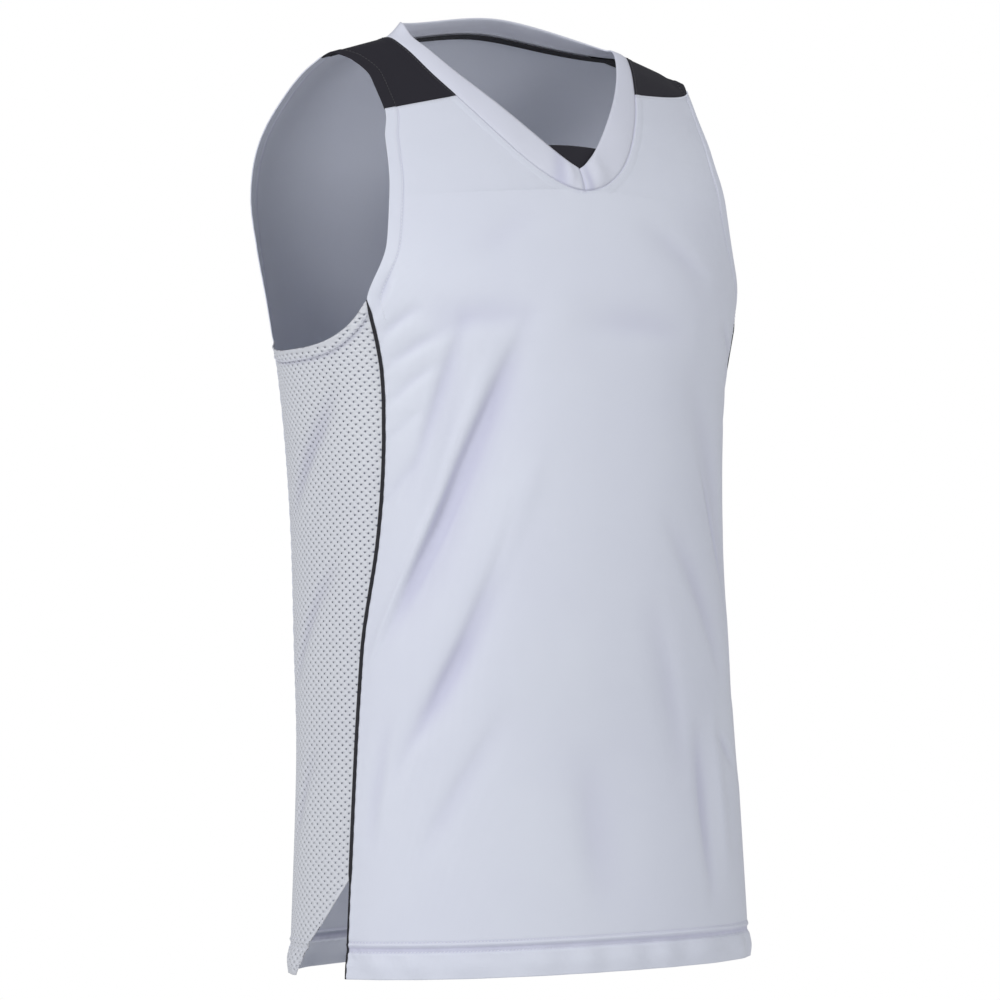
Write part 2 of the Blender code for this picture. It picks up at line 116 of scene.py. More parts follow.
# height, half width, front depth, back depth, side line, squareness, share of the shoulder slope
SECTIONS = np.array((
    (-BODY_LENGTH, 0.215, 0.137, 0.137, -0.011, 2.25, 0.00),
    (-0.615, 0.206, 0.133, 0.133, -0.011, 2.25, 0.00),
    (-0.515, 0.199, 0.142, 0.142, -0.006, 2.25, 0.00),
    (-0.406, 0.194, 0.149, 0.148, 0.000, 2.25, 0.00),
    (-0.307, 0.201, 0.149, 0.148, 0.002, 2.25, 0.00),
    (-0.226, 0.219, 0.139, 0.146, -0.002, 2.25, 0.05),
    (-0.171, 0.236, 0.123, 0.143, 0.000, 2.20, 0.15),
    (-0.122, 0.246, 0.107, 0.133, 0.002, 2.35, 0.35),
    (-0.077, 0.246, 0.082, 0.110, 0.004, 2.50, 0.65),
    (-0.041, 0.238, 0.055, 0.080, 0.003, 2.45, 0.85),
    (-0.012, 0.222, 0.027, 0.044, -0.002, 2.30, 0.96),
    (0.000, 0.200, 0.000, 0.000, -0.008, 2.20, 1.00),
))
RIDGE = len(SECTIONS) - 1

# seams beside the front panel and behind the side panel: height, front angle, back angle
SIDE_SEAMS = np.array((
    (-BODY_LENGTH, 77.0, 120.0), (-0.628, 75.5, 120.0), (-0.523, 74.0, 120.0),
    (-0.428, 68.5, 120.0), (-0.343, 64.5, 120.0), (-0.276, 62.5, 120.0), (UNDERARM, 63.0, 120.0),
))
# armhole edges: height, half width across the front, half width across the back
ARMHOLE = np.array((
    (-0.262, 0.193, 0.188), (UNDERARM, 0.1970, 0.194), (-0.181, 0.185, 0.197),
    (-0.133, 0.180, 0.199), (-0.086, 0.173, 0.199), (YOKE_FRONT, 0.164, 0.198),
    (-0.030, 0.163, 0.193), (-0.010, 0.172, 0.188), (0.000, 0.184, 0.184),
))
# the left one, whose shoulder lies flatter
LEFT_ARMHOLE = np.array((
    (-0.262, 0.193, 0.188), (UNDERARM, 0.2010, 0.194), (-0.181, 0.187, 0.197),
    (-0.133, 0.180, 0.199), (-0.100, 0.180, 0.199), (-0.066, 0.185, 0.198),
    (-0.030, 0.191, 0.197), (-0.010, 0.194, 0.196), (0.000, 0.195, 0.195),
))
# neck curves: half width, front height, back height, roundness of the front point, sweep
NECK_SEAM = (NECK_HALF, -0.1405, -0.008, 0.52, 1.6)
NECK_EDGE = (0.1120, -0.1235, -0.0022, 0.80, 1.8)
print("length", BODY_LENGTH, "m, largest ring", 2 * SECTIONS[:, 1].max(), "m wide")

# %% [markdown]
# ## Creases
#
# A crease in light knit is a soft trough that starts and ends in nothing. Each row below is one: its two
# ends, how deep it is (less than zero is a trough, more is a ridge), how wide it is on each side of its
# line, and how far the line bows. The profile across is a bell curve, exp(-(d/width)^2), and the depth
# fades along the line as (4t(1-t))^1.2. Two different widths make one flank steep and the other gentle,
# which is how cloth folds under its own pull. The strongest run from the chest down to the side seam,
# where the garment hangs free. They are set one by one, uneven in length and spacing, and no two sides of
# the jersey have the same ones.

# %% Crease tables
# start angle, start height, end angle, end height, depth, breadth
LARGE_FOLDS = np.array((
    (-36.0, -0.250, -52.0, -0.430, -0.0030, 0.016),
    (-22.0, -0.270, -60.0, -0.520, -0.0045, 0.020),
    (-30.0, -0.450, -52.0, -0.600, -0.0025, 0.018),
    (24.0, -0.280, 58.0, -0.500, -0.0040, 0.020),
    (52.0, -0.420, 60.0, -0.640, -0.0030, 0.018),
    (150.0, -0.300, 128.0, -0.520, -0.0035, 0.022),
    (-152.0, -0.320, -130.0, -0.560, -0.0035, 0.022),
    (176.0, -0.400, 160.0, -0.600, -0.0025, 0.024),
))
# start angle, start height, end angle, end height, depth, breadth on the right, on the left, bow
CREASES = np.array((
    (-33.0, -0.232, -60.0, -0.405, -0.0030, 0.0085, 0.0060, 0.004),
    (-27.5, -0.262, -56.0, -0.440, 0.0016, 0.0070, 0.0060, 0.003),
    (-17.0, -0.235, -69.5, -0.532, -0.0052, 0.0120, 0.0062, 0.003),
    (-43.0, -0.364, -72.5, -0.535, 0.0026, 0.0030, 0.0045, 0.002),
    (-36.0, -0.352, -62.0, -0.500, -0.0018, 0.0050, 0.0060, 0.000),
    (-24.0, -0.385, -55.0, -0.600, -0.0044, 0.0130, 0.0080, -0.004),
    (-18.0, -0.340, -46.0, -0.545, 0.0024, 0.0100, 0.0130, -0.004),
    (-38.0, -0.505, -64.0, -0.640, -0.0022, 0.0080, 0.0100, 0.003),
    (-26.0, -0.560, -55.0, -0.700, -0.0022, 0.0150, 0.0090, 0.002),
    (-51.0, -0.200, -62.5, -0.245, -0.0022, 0.0032, 0.0050, 0.000),
    (-46.0, -0.234, -63.0, -0.266, -0.0024, 0.0040, 0.0055, 0.002),
    (-38.0, -0.252, -63.5, -0.290, -0.0025, 0.0045, 0.0065, 0.002),
    (-43.0, -0.280, -64.0, -0.322, -0.0020, 0.0040, 0.0065, 0.003),
    (-50.0, -0.318, -65.0, -0.352, -0.0014, 0.0040, 0.0055, 0.002),
    (-54.0, -0.360, -66.5, -0.402, -0.0017, 0.0040, 0.0060, 0.001),
    (-52.0, -0.246, -12.0, -0.236, -0.0026, 0.0190, 0.0110, 0.004),
    (-10.0, -0.250, 26.0, -0.258, -0.0022, 0.0200, 0.0130, -0.004),
    (-62.0, -0.560, -70.0, -0.690, -0.0022, 0.0070, 0.0110, 0.002),
    (26.0, -0.350, 66.0, -0.572, -0.0046, 0.0065, 0.0130, -0.004),
    (23.0, -0.335, 60.0, -0.560, 0.0026, 0.0045, 0.0080, -0.004),
    (33.0, -0.586, 50.0, -0.622, -0.0026, 0.0055, 0.0080, 0.000),
    (25.0, -0.570, 30.0, -0.745, -0.0036, 0.0110, 0.0075, 0.003),
    (33.0, -0.560, 39.0, -0.735, 0.0026, 0.0120, 0.0090, 0.002),
    (-6.0, -0.590, -2.0, -0.750, -0.0022, 0.0200, 0.0140, 0.004),
    (8.0, -0.470, 20.0, -0.640, -0.0020, 0.0120, 0.0160, -0.003),
    (40.0, -0.236, 63.0, -0.276, -0.0024, 0.0055, 0.0070, 0.002),
    (48.0, -0.266, 64.0, -0.310, -0.0020, 0.0050, 0.0060, 0.002),
    (50.0, -0.300, 65.0, -0.352, -0.0020, 0.0060, 0.0050, 0.001),
    (12.0, -0.400, 42.0, -0.560, -0.0026, 0.0150, 0.0090, -0.004),
    (-9.0, -0.152, -30.0, -0.200, -0.0014, 0.0130, 0.0110, 0.003),
    (10.0, -0.158, 34.0, -0.215, -0.0018, 0.0110, 0.0150, -0.003),
    (80.0, -0.300, 112.0, -0.440, -0.0039, 0.0119, 0.0085, 0.003),
    (86.0, -0.480, 116.0, -0.640, -0.0033, 0.0102, 0.0127, 0.002),
    (-78.0, -0.290, -112.0, -0.410, -0.0039, 0.0102, 0.0119, -0.003),
    (-82.0, -0.430, -114.0, -0.560, -0.0030, 0.0110, 0.0085, 0.002),
    (-92.0, -0.590, -112.0, -0.690, -0.0024, 0.0102, 0.0076, 0.002),
    (158.0, -0.230, 126.0, -0.420, -0.0045, 0.0076, 0.0136, 0.004),
    (168.0, -0.330, 128.0, -0.590, -0.0048, 0.0119, 0.0076, 0.005),
    (146.0, -0.520, 128.0, -0.680, -0.0033, 0.0102, 0.0136, 0.003),
    (-164.0, -0.250, -127.0, -0.450, -0.0045, 0.0119, 0.0076, -0.004),
    (-171.0, -0.400, -130.0, -0.640, -0.0042, 0.0085, 0.0136, -0.005),
    (-140.0, -0.290, -122.0, -0.340, -0.0024, 0.0068, 0.0085, 0.000),
    (140.0, -0.280, 122.0, -0.330, -0.0024, 0.0068, 0.0085, 0.000),
    (176.0, -0.480, 171.0, -0.735, -0.0033, 0.0136, 0.0170, 0.004),
    (-156.0, -0.600, -150.0, -0.750, -0.0027, 0.0119, 0.0085, 0.003),
    (156.0, -0.640, 150.0, -0.750, -0.0024, 0.0085, 0.0119, 0.002),
))
FOLD_RADIUS = 0.185     # turns an angle round the body into a distance
print(len(LARGE_FOLDS), "large folds and", len(CREASES), "creases")


# %% [markdown]
# ## The surface
#
# Everything sewn here lies on one surface, found from an angle round the body and a level. The folds
# push it in and out. Over the shoulder the surface is followed by a turn instead, which counts levels up
# the front to the ridge and goes on counting down the back. The seams, the armholes and the neck are
# curves on it. The wearer's left shoulder lies flatter than the right, so they differ from side to side.

# %% The surface
def section(level):
    """Ring values at a level: the Catmull-Rom curve through the rows, turned back above the ridge."""
    above = SECTIONS[-2].copy()
    above[2:4] *= -1
    rows = np.vstack([2 * SECTIONS[0] - SECTIONS[1], SECTIONS, above])
    low = np.clip(np.floor(level).astype(int), 0, RIDGE - 1)
    part = (level - low)[..., None]
    a, b, c, d = (rows[low + k] for k in range(4))
    bend = (2 * a - 5 * b + 4 * c - d) * part**2 + (3 * b - a - 3 * c + d) * part**3
    return 0.5 * (2 * b + (c - a) * part + bend)


LEVELS = np.linspace(0, RIDGE, 2201)
HEIGHTS = section(LEVELS)[:, 0]


def level_of(height):
    """The level whose ring has this nominal height."""
    return np.interp(height, HEIGHTS, LEVELS)


def smooth(table, column, height):
    """A column of a table at a height: cubic Hermite pieces with harmonic-mean slopes, no overshoot."""
    x, y = table[:, 0], table[:, column]
    step = np.diff(y) / np.diff(x)
    slope = np.zeros(len(x))
    same = step[1:] * step[:-1] > 0
    slope[1:-1][same] = 2 * step[1:][same] * step[:-1][same] / (step[1:] + step[:-1])[same]
    slope[0], slope[-1] = step[0], step[-1]
    height = np.clip(height, x[0], x[-1])
    k = np.clip(np.searchsorted(x, height, side="right") - 1, 0, len(x) - 2)
    width = x[k + 1] - x[k]
    u = (height - x[k]) / width
    start, end = y[k] * (1 + 2 * u) * (1 - u) ** 2, y[k + 1] * u * u * (3 - 2 * u)
    return start + end + width * (slope[k] * u * (1 - u) ** 2 - slope[k + 1] * u * u * (1 - u))


def along_and_across(rows, angle, height):
    """For each row's line: how far along it a point is, 0 to 1, its distance to the line, and its length."""
    start = np.radians(rows[:, 0]) * FOLD_RADIUS
    run, rise = np.radians(rows[:, 2]) * FOLD_RADIUS - start, rows[:, 3] - rows[:, 1]
    length = np.hypot(run, rise)
    side, up = angle[..., None] * FOLD_RADIUS - start, height[..., None] - rows[:, 1]
    return (side * run + up * rise) / length**2, (side * rise - up * run) / length


def fold_depth(angle, height):
    """The large folds of the solid model: depth times a parabola along and a bell curve across."""
    along, across = along_and_across(LARGE_FOLDS, angle, height)
    fade = np.clip(1 - (2 * along - 1) ** 2, 0, 1)
    return (LARGE_FOLDS[:, 4] * fade * np.exp(-((across / LARGE_FOLDS[:, 5]) ** 2))).sum(-1)


def crease_depth(angle, height):
    """Depth of all the creases at once: depth (4t(1-t))^1.2 exp(-(d/width)^2), a width for each side."""
    along, across = along_and_across(CREASES, angle, height)
    hump = np.clip(4 * along * (1 - along), 0, 1)
    across = across - CREASES[:, 7] * hump
    width = np.where(across < 0, CREASES[:, 5], CREASES[:, 6])
    return (CREASES[:, 4] * hump**1.2 * np.exp(-((across / width) ** 2))).sum(-1)


def point(angle, level):
    """A point of the body. With s = sin(angle) and c = cos(angle), x = a |s|^(2/n) and y = -b |c|^(2/n)."""
    angle, level = np.broadcast_arrays(np.asarray(angle, float), np.asarray(level, float))
    height, wide, front, back, side, square, share = np.moveaxis(section(level), -1, 0)
    deep = np.where(np.abs(angle) <= np.pi / 2, front, back)
    x = wide * np.sign(np.sin(angle)) * np.abs(np.sin(angle)) ** (2 / square)
    y = side - deep * np.sign(np.cos(angle)) * np.abs(np.cos(angle)) ** (2 / square)
    z = height - share * SHOULDER_SLOPE * (np.hypot(x, NECK_ROUND) - NECK_HALF)
    flat = np.stack([np.sin(angle) * np.maximum(deep, 1e-6), -np.cos(angle) * wide], -1)
    flat /= np.linalg.norm(flat, axis=-1, keepdims=True)
    push = fold_depth(angle, height) * np.clip((-0.20 - height) / 0.05, 0, 1)
    spot = np.stack([x, y, z], -1)
    spot[..., :2] += flat * push[..., None]
    return spot


def angle_at(x, level, behind=False):
    """The angle round the body at a half width x, in front or behind."""
    row = section(level)
    angle = np.arcsin(np.clip(x / row[..., 1], 0, 1) ** (row[..., 5] / 2))
    return np.where(behind, np.pi - angle, angle)


def over_shoulder(x, turn):
    """A point at half width x over the shoulder. turn is the level in front, 2 ridge - level behind."""
    x, turn = np.broadcast_arrays(np.asarray(x, float), np.asarray(turn, float))
    behind = turn > RIDGE
    level = np.where(behind, 2 * RIDGE - turn, turn)
    return point(angle_at(x, level, behind), level)


def neck_width(curve, turn):
    """Half width of a neck curve at a turn over the shoulder, from the front point to the back."""
    wide, front, back, roundness, sweep = curve
    low, behind = level_of(front), RIDGE - level_of(back)
    part = np.clip((turn - low) / (RIDGE - low), 0, 1)
    ahead = (1 - (1 - part) ** sweep) ** roundness
    rear = np.sqrt(np.clip(1 - (np.clip(turn - RIDGE, 0, behind) / behind) ** 2, 0, 1))
    return wide * np.where(turn > RIDGE, rear, ahead)


def armhole(side, height, behind=False):
    """Half width of the armhole edge at a height. side is 1 on the wearer's left and -1 on the right."""
    return smooth(LEFT_ARMHOLE if side > 0 else ARMHOLE, 2 if behind else 1, height)


def front_seam(side, height):
    """Angle of the seam beside the front panel: the table, and on the left a few degrees more."""
    back = (LEFT_SEAM_BACK if side > 0 else 0) * np.exp(-(((height + 0.32) / 0.12) ** 2))
    return np.radians(smooth(SIDE_SEAMS, 1, height) + back)


def edge_angle(side, height, behind=False):
    """Angle of a panel's side edge: the side seam below the underarm, the armhole above it."""
    seam = np.radians(smooth(SIDE_SEAMS, 2, height)) if behind else front_seam(side, height)
    hole = angle_at(armhole(side, height, behind), level_of(height), behind)
    return np.where(height <= (ARM_BACK if behind else UNDERARM) + 1e-9, seam, hole)


def yoke_front(side, share):
    """Level of the yoke's front seam, at a share of the way from the neck to the armhole."""
    neck, arm = LEFT_YOKE_FRONT if side > 0 else (YOKE_FRONT, YOKE_FRONT)
    return level_of(neck + (arm - neck) * share)


corner = point(0.0, 0.0)
print("middle of the front hem at", np.round(corner, 3))

# %% [markdown]
# ## From a grid of points to a piece of cloth
#
# Every panel is a grid: rows run across the cloth and columns run up it. Three helpers do the work for
# all of them. The first finds the outward direction at each point from its neighbours, the second
# measures distances along the cloth, which places hems and stitch lines as a tailor's rule would, and
# the third builds the mesh. The cloth's own lengths become its UV map, in metres, so that a knit pattern
# runs along the cloth instead of cutting through it. Solidify then gives the sheet its thickness.

# %% Helpers for grids
def outward(grid, sign=1):
    """Unit normal at each point of a grid: the cross product of its two neighbour differences."""
    across, up = np.gradient(grid, axis=1), np.gradient(grid, axis=0)
    cross = np.cross(across, up) * sign
    return cross / np.maximum(np.linalg.norm(cross, axis=-1, keepdims=True), 1e-12)


def lengths(grid, axis):
    """Distance along the cloth from the first row (axis 0) or the first column (axis 1)."""
    step = np.linalg.norm(np.diff(grid, axis=axis), axis=-1)
    start = np.zeros_like(np.take(step, [0], axis=axis))
    return np.concatenate([start, np.cumsum(step, axis=axis)], axis=axis)


def bell(distance, width):
    """A bump of height 1: exp(-(distance / width)^2)."""
    return np.exp(-((distance / width) ** 2))


def ease(value):
    """A smooth step from 0 to 1: 3t^2 - 2t^3."""
    t = np.clip(value, 0, 1)
    return t * t * (3 - 2 * t)


def drawn_in(grid, edges):
    """The grid with the named edges drawn in by half the gap: "first row", "last column" and so on."""
    grid = grid.copy()
    for edge in edges:
        axis = 0 if "row" in edge else 1
        turned = np.swapaxes(grid, 0, axis)
        end, inner = (0, 1) if "first" in edge else (-1, -2)
        step = turned[inner] - turned[end]
        turned[end] += step / np.maximum(np.linalg.norm(step, axis=-1, keepdims=True), 1e-9) * GAP / 2
    return grid


def quads(index):
    """The four corners of each face between neighbouring rows and columns of an index grid."""
    corners = index[:-1, :-1], index[:-1, 1:], index[1:, 1:], index[1:, :-1]
    return np.stack(corners, -1).reshape(-1, 4)


def piece_from(name, spots, faces, material, uv=None, values=None, wall=CLOTH, flip=False):
    """A piece at the origin: its mesh, its UV map in metres, its point values and its cloth wall."""
    faces = faces[:, ::-1] if flip else faces
    mesh = bpy.data.meshes.new(name)
    mesh.from_pydata(spots.reshape(-1, 3).tolist(), [], faces.tolist())
    if uv is not None:
        corner_of = np.empty(len(mesh.loops), np.int32)
        mesh.loops.foreach_get("vertex_index", corner_of)
        layer = mesh.uv_layers.new(name="cloth")
        layer.data.foreach_set("uv", uv.reshape(-1, 2)[corner_of].astype(np.float32).ravel())
    for label, value in (values or {}).items():
        layer = mesh.attributes.new(label, "FLOAT", "POINT")
        layer.data.foreach_set("value", value.astype(np.float32).ravel())
    mesh.materials.append(material)
    mesh.shade_smooth()
    piece = bpy.data.objects.new(name, mesh)
    bpy.context.scene.collection.objects.link(piece)
    if wall:
        layer = piece.modifiers.new("cloth wall", "SOLIDIFY")
        layer.thickness = wall
        layer.offset = 0
    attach(piece, "root")
    return piece


def sheet_area(grid):
    """Area of a grid's faces: half the cross product of each face's diagonals."""
    diagonals = np.cross(grid[1:, 1:] - grid[:-1, :-1], grid[1:, :-1] - grid[:-1, 1:])
    return float(np.linalg.norm(diagonals, axis=-1).sum() / 2)


print("helpers ready; cloth wall", CLOTH * 1000, "mm")

# %% [markdown]
# ## The fabrics
#
# Five fabrics make the jersey. Each is one Principled shader, and its small detail follows the cloth's
# UV map, so the stitches of the knit run up the garment.
#
# - The body is an interlock knit of fine bright polyester. Its loops stand in narrow ribs about 0.9 mm
#   apart. A sine wave across the cloth gives the ribs, a second one along it gives the loops, and their
#   product raises the bump. Bright yarn shows a soft gloss and a pale sheen at grazing angles. White
#   cloth looks lilac where a fold turns it away from the light, so shade is painted into the colour,
#   leaning it that way in troughs, along the rows of stitches and in the hem's valley.
# - The collar is the same yarn in a closer, flatter knit.
# - The side panels are a pinhole mesh, with the same yarn and a coarser loop.
# - The yokes are the same knit in black, duller than the white.
# - The tape and piping are woven, with a diagonal twill.

# %% Knit and twill materials
def node(tree, kind, links=None, **settings):
    """A new node with its settings, and its inputs linked from other sockets or set to numbers."""
    made = tree.nodes.new(kind)
    for name, value in settings.items():
        setattr(made, name, value)
    for name, source in (links or {}).items():
        if isinstance(source, bpy.types.NodeSocket):
            tree.links.new(source, made.inputs[name])
        else:
            made.inputs[name].default_value = source
    return made


def wave(tree, value, pitch, lean=None, amount=0.0):
    """sin(2 pi (value + amount lean) / pitch), brought to 0..1."""
    if lean is not None:
        value = node(tree, "ShaderNodeMath", {0: lean, 1: amount, 2: value}, operation="MULTIPLY_ADD")
        value = value.outputs[0]
    turns = node(tree, "ShaderNodeMath", {0: value, 1: 2 * np.pi / pitch}, operation="MULTIPLY")
    swing = node(tree, "ShaderNodeMath", {0: turns.outputs[0]}, operation="SINE")
    raised = node(tree, "ShaderNodeMath", {0: swing.outputs[0], 1: 0.5, 2: 0.5}, operation="MULTIPLY_ADD")
    return raised.outputs[0]


def fabric(name, colour, shade, rib, loop, twill=False, rough=0.5, sheen=0.3, gloss=0.4, relief=0.5):
    """A knit or woven cloth: ribs across u, loops along v, a cloudy tone and painted lilac shade in folds."""
    material = bpy.data.materials.new(name)
    material.use_nodes = True
    tree = material.node_tree
    shader = tree.nodes["Principled BSDF"]
    uv = node(tree, "ShaderNodeUVMap", uv_map="cloth")
    place = node(tree, "ShaderNodeSeparateXYZ", {0: uv.outputs[0]})
    u, v = place.outputs[0], place.outputs[1]
    ribs = wave(tree, u, rib, v if twill else None, 1.0)
    loops = wave(tree, v, loop, u, rib and loop / rib / 2)
    weave = node(tree, "ShaderNodeMath", {0: ribs, 1: loops}, operation="MULTIPLY").outputs[0]
    where = node(tree, "ShaderNodeTexCoord").outputs["Object"]
    fuzz = node(tree, "ShaderNodeTexNoise", {"Vector": where, "Scale": 900.0, "Detail": 2.0})
    height = node(tree, "ShaderNodeMath", {0: fuzz.outputs[0], 1: 0.5, 2: weave}, operation="MULTIPLY_ADD")
    bump = node(tree, "ShaderNodeBump", {"Height": height.outputs[0], "Strength": relief,
                                         "Distance": 0.00025})
    tree.links.new(bump.outputs[0], shader.inputs["Normal"])
    cloud = node(tree, "ShaderNodeTexNoise",
                 {"Vector": where, "Scale": 7.0, "Detail": 3.0, "Roughness": 0.55})
    # Painted shade: a point value, high deep in folds and in stitch grooves, leans the colour lilac; the
    # cloud noise adds the cloth's random tone.
    painted_shade = node(tree, "ShaderNodeAttribute", attribute_name="painted_shade").outputs["Fac"]
    mixed = node(tree, "ShaderNodeMath", {0: cloud.outputs[0], 1: 0.5, 2: painted_shade}, operation="MULTIPLY_ADD")
    cloud_and_painted_shade = node(tree, "ShaderNodeMapRange", {"Value": mixed.outputs[0], "From Min": 0.15, "From Max": 1.15})
    yarn = node(tree, "ShaderNodeMath", {0: weave, 1: -0.10, 2: 1.0}, operation="MULTIPLY_ADD")
    blend = node(tree, "ShaderNodeMix", data_type="RGBA")
    blend.inputs["A"].default_value = (*colour, 1)
    blend.inputs["B"].default_value = (*shade, 1)
    tree.links.new(cloud_and_painted_shade.outputs[0], blend.inputs["Factor"])
    dyed = node(tree, "ShaderNodeMix", {"Factor": 1.0}, data_type="RGBA", blend_type="MULTIPLY")
    tree.links.new(blend.outputs["Result"], dyed.inputs["A"])
    tree.links.new(yarn.outputs[0], dyed.inputs["B"])
    tree.links.new(dyed.outputs["Result"], shader.inputs["Base Color"])
    rub = node(tree, "ShaderNodeMapRange",
               {"Value": fuzz.outputs[0], "To Min": rough - 0.05, "To Max": rough + 0.06})
    tree.links.new(rub.outputs[0], shader.inputs["Roughness"])
    shader.inputs["Specular IOR Level"].default_value = gloss
    shader.inputs["Sheen Weight"].default_value = sheen
    shader.inputs["Sheen Roughness"].default_value = 0.35
    return material


white_knit = fabric("white_knit", (0.66, 0.69, 0.78), (0.54, 0.55, 0.69), 0.0009, 0.0007,
                    rough=0.46, sheen=0.25, gloss=0.45)
white_rib = fabric("white_rib", (0.64, 0.66, 0.75), (0.52, 0.53, 0.69), 0.0011, 0.0006,
                   rough=0.52, sheen=0.25, gloss=0.35)
white_mesh = fabric("white_mesh", (0.66, 0.68, 0.73), (0.56, 0.57, 0.66), 0.0012, 0.0010,
                    rough=0.58, sheen=0.20, gloss=0.30, relief=0.6)
black_knit = fabric("black_knit", (0.016, 0.015, 0.022), (0.012, 0.011, 0.017), 0.0009, 0.0007,
                    rough=0.66, sheen=0.04, gloss=0.22)
black_tape = fabric("black_tape", (0.020, 0.020, 0.025), (0.016, 0.016, 0.021), 0.0012, 0.0012,
                    twill=True, rough=0.66, sheen=0.04, gloss=0.22)
print("fabrics:", [m.name for m in (white_knit, white_rib, white_mesh, black_knit, black_tape)])

# %% [markdown]
# Sewing thread is a smooth twisted yarn, brighter than the cloth because it is thicker. Its twist is a
# sine wave along the stitch.

# %% Thread materials
def thread(name, colour):
    """A twisted yarn: a fine wave on the object's own coordinates raises the bump."""
    material = bpy.data.materials.new(name)
    material.use_nodes = True
    tree = material.node_tree
    shader = tree.nodes["Principled BSDF"]
    where = node(tree, "ShaderNodeTexCoord").outputs["Object"]
    twist = node(tree, "ShaderNodeTexWave", {"Vector": where, "Scale": 900.0, "Distortion": 2.0})
    bump = node(tree, "ShaderNodeBump", {"Height": twist.outputs[1], "Strength": 0.4, "Distance": 0.0001})
    tree.links.new(bump.outputs[0], shader.inputs["Normal"])
    tint = node(tree, "ShaderNodeMix", data_type="RGBA")
    tint.inputs["A"].default_value = (*colour, 1)
    tint.inputs["B"].default_value = (*(0.85 * c for c in colour), 1)
    tree.links.new(twist.outputs[1], tint.inputs["Factor"])
    tree.links.new(tint.outputs["Result"], shader.inputs["Base Color"])
    shader.inputs["Roughness"].default_value = 0.45
    shader.inputs["Sheen Weight"].default_value = 0.2
    return material


white_thread = thread("white_thread", (0.74, 0.76, 0.84))
black_thread = thread("black_thread", (0.030, 0.030, 0.036))
print("threads:", white_thread.name, black_thread.name)

# %% [markdown]
# ## Stitches
#
# A row of topstitching is hundreds of short loops of thread. Each is a small tube, arched so that its
# ends dip into the cloth, and all the tubes of a seam are worked out as one array: stitches by rings by
# sides. Given a line on the cloth and the outward direction along it, the function spaces the stitches
# by length, so they stay even where the line bends.

# %% Rows of stitches
STITCH_PITCH = 0.0030
STITCH_SHARE = 0.72     # of the pitch that thread covers, the rest is the hole between two stitches
THREAD = 0.00034        # radius
stitch_rows = {"white": [], "black": []}


def stitch_line(spots, normals, colour="white", pitch=STITCH_PITCH, lean=0.0, stand=CLOTH / 2):
    """Tubes along a line: centre c + t half, lifted by stand + radius (1 - t^2); rings of six points."""
    travel = np.concatenate([[0], np.cumsum(np.linalg.norm(np.diff(spots, axis=0), axis=1))])
    count = max(int(travel[-1] / pitch), 1)
    t = np.array((-1.0, -0.6, 0.0, 0.6, 1.0)) * pitch * STITCH_SHARE / 2
    middle = (np.arange(count) + 0.5) * travel[-1] / count
    where = np.clip(middle[:, None] + t, 0, travel[-1])
    path = np.stack([np.interp(where, travel, spots[:, k]) for k in range(3)], -1)
    normal = np.stack([np.interp(where, travel, normals[:, k]) for k in range(3)], -1)
    ahead = np.gradient(path, axis=1)
    ahead /= np.maximum(np.linalg.norm(ahead, axis=-1, keepdims=True), 1e-12)
    beside = np.cross(normal, ahead)
    arch = (1 - (t / t[-1]) ** 2)[None, :, None]
    path = path + normal * (stand - THREAD * 0.6 + THREAD * 1.1 * arch) + beside * (lean * t)[None, :, None]
    thick = THREAD * np.array((0.45, 0.9, 1.0, 0.9, 0.45))[None, :, None, None]
    turn = np.linspace(0, 2 * np.pi, 6, endpoint=False)[:, None]
    ring = beside[:, :, None] * np.cos(turn) + normal[:, :, None] * np.sin(turn)
    stitch_rows[colour].append((path[:, :, None] + thick * ring).reshape(-1, 3))
    return count


def line_on(grid, normals, distance, wanted, axis):
    """Points of a grid where the distance along an axis reaches a value, between two neighbours."""
    at = np.clip((distance < wanted).sum(axis=axis) - 1, 0, grid.shape[axis] - 2)
    pick = np.expand_dims(at, axis)
    low = np.take_along_axis(distance, pick, axis)
    high = np.take_along_axis(distance, pick + 1, axis)
    part = np.clip((wanted - low) / np.maximum(high - low, 1e-9), 0, 1)[..., None]
    sides = []
    for field in (grid, normals):
        first = np.take_along_axis(field, pick[..., None], axis)
        second = np.take_along_axis(field, pick[..., None] + 1, axis)
        sides.append(np.squeeze(first + (second - first) * part, axis=axis))
    return sides


def tubes(colour):
    """One mesh for all the stitches of a colour: quads round each tube and a cap at both ends."""
    spots = np.concatenate(stitch_rows[colour])
    count = len(spots) // 30
    ring = np.arange(30).reshape(5, 6)
    round_about = np.stack([ring[:-1], np.roll(ring, -1, 1)[:-1], np.roll(ring, -1, 1)[1:], ring[1:]], -1)
    caps = np.array([[0, 5, 4, 3], [0, 3, 2, 1], [24, 25, 26, 27], [24, 27, 28, 29]])
    one = np.concatenate([round_about.reshape(-1, 4), caps])
    return spots, (one[None] + 30 * np.arange(count)[:, None, None]).reshape(-1, 4), count


print("stitches", STITCH_PITCH * 1000, "mm apart, thread", THREAD * 2000, "mm thick")

# %% [markdown]
# ## The front panel
#
# The front is one piece, from the hem to the shoulder yokes, with the V of the neck cut out of its top.
# Half of it is a grid whose columns run from the middle of the body, or from the neck seam once the V
# has opened, out to the side seam and the armhole. The other half is made in the same way for its own
# side of the body, and the two share their middle column up to the point of the V.
#
# The edges carry the sewing. The hem is folded up 30 mm and held by two rows of stitches, which pull
# grooves into the cloth and pucker it between them. The armhole is folded over 11 mm. Where a seam
# joins another piece, the doubled cloth inside it lifts the surface by half a millimetre.

# %% Hem and edge relief
HEM = 0.030             # depth of the folded hem, and its upper row of stitches
HEM_LOW = 0.022         # the lower row
ARM_BAND = 0.011        # fold along the armhole
FOLD_LIFT = 0.0005


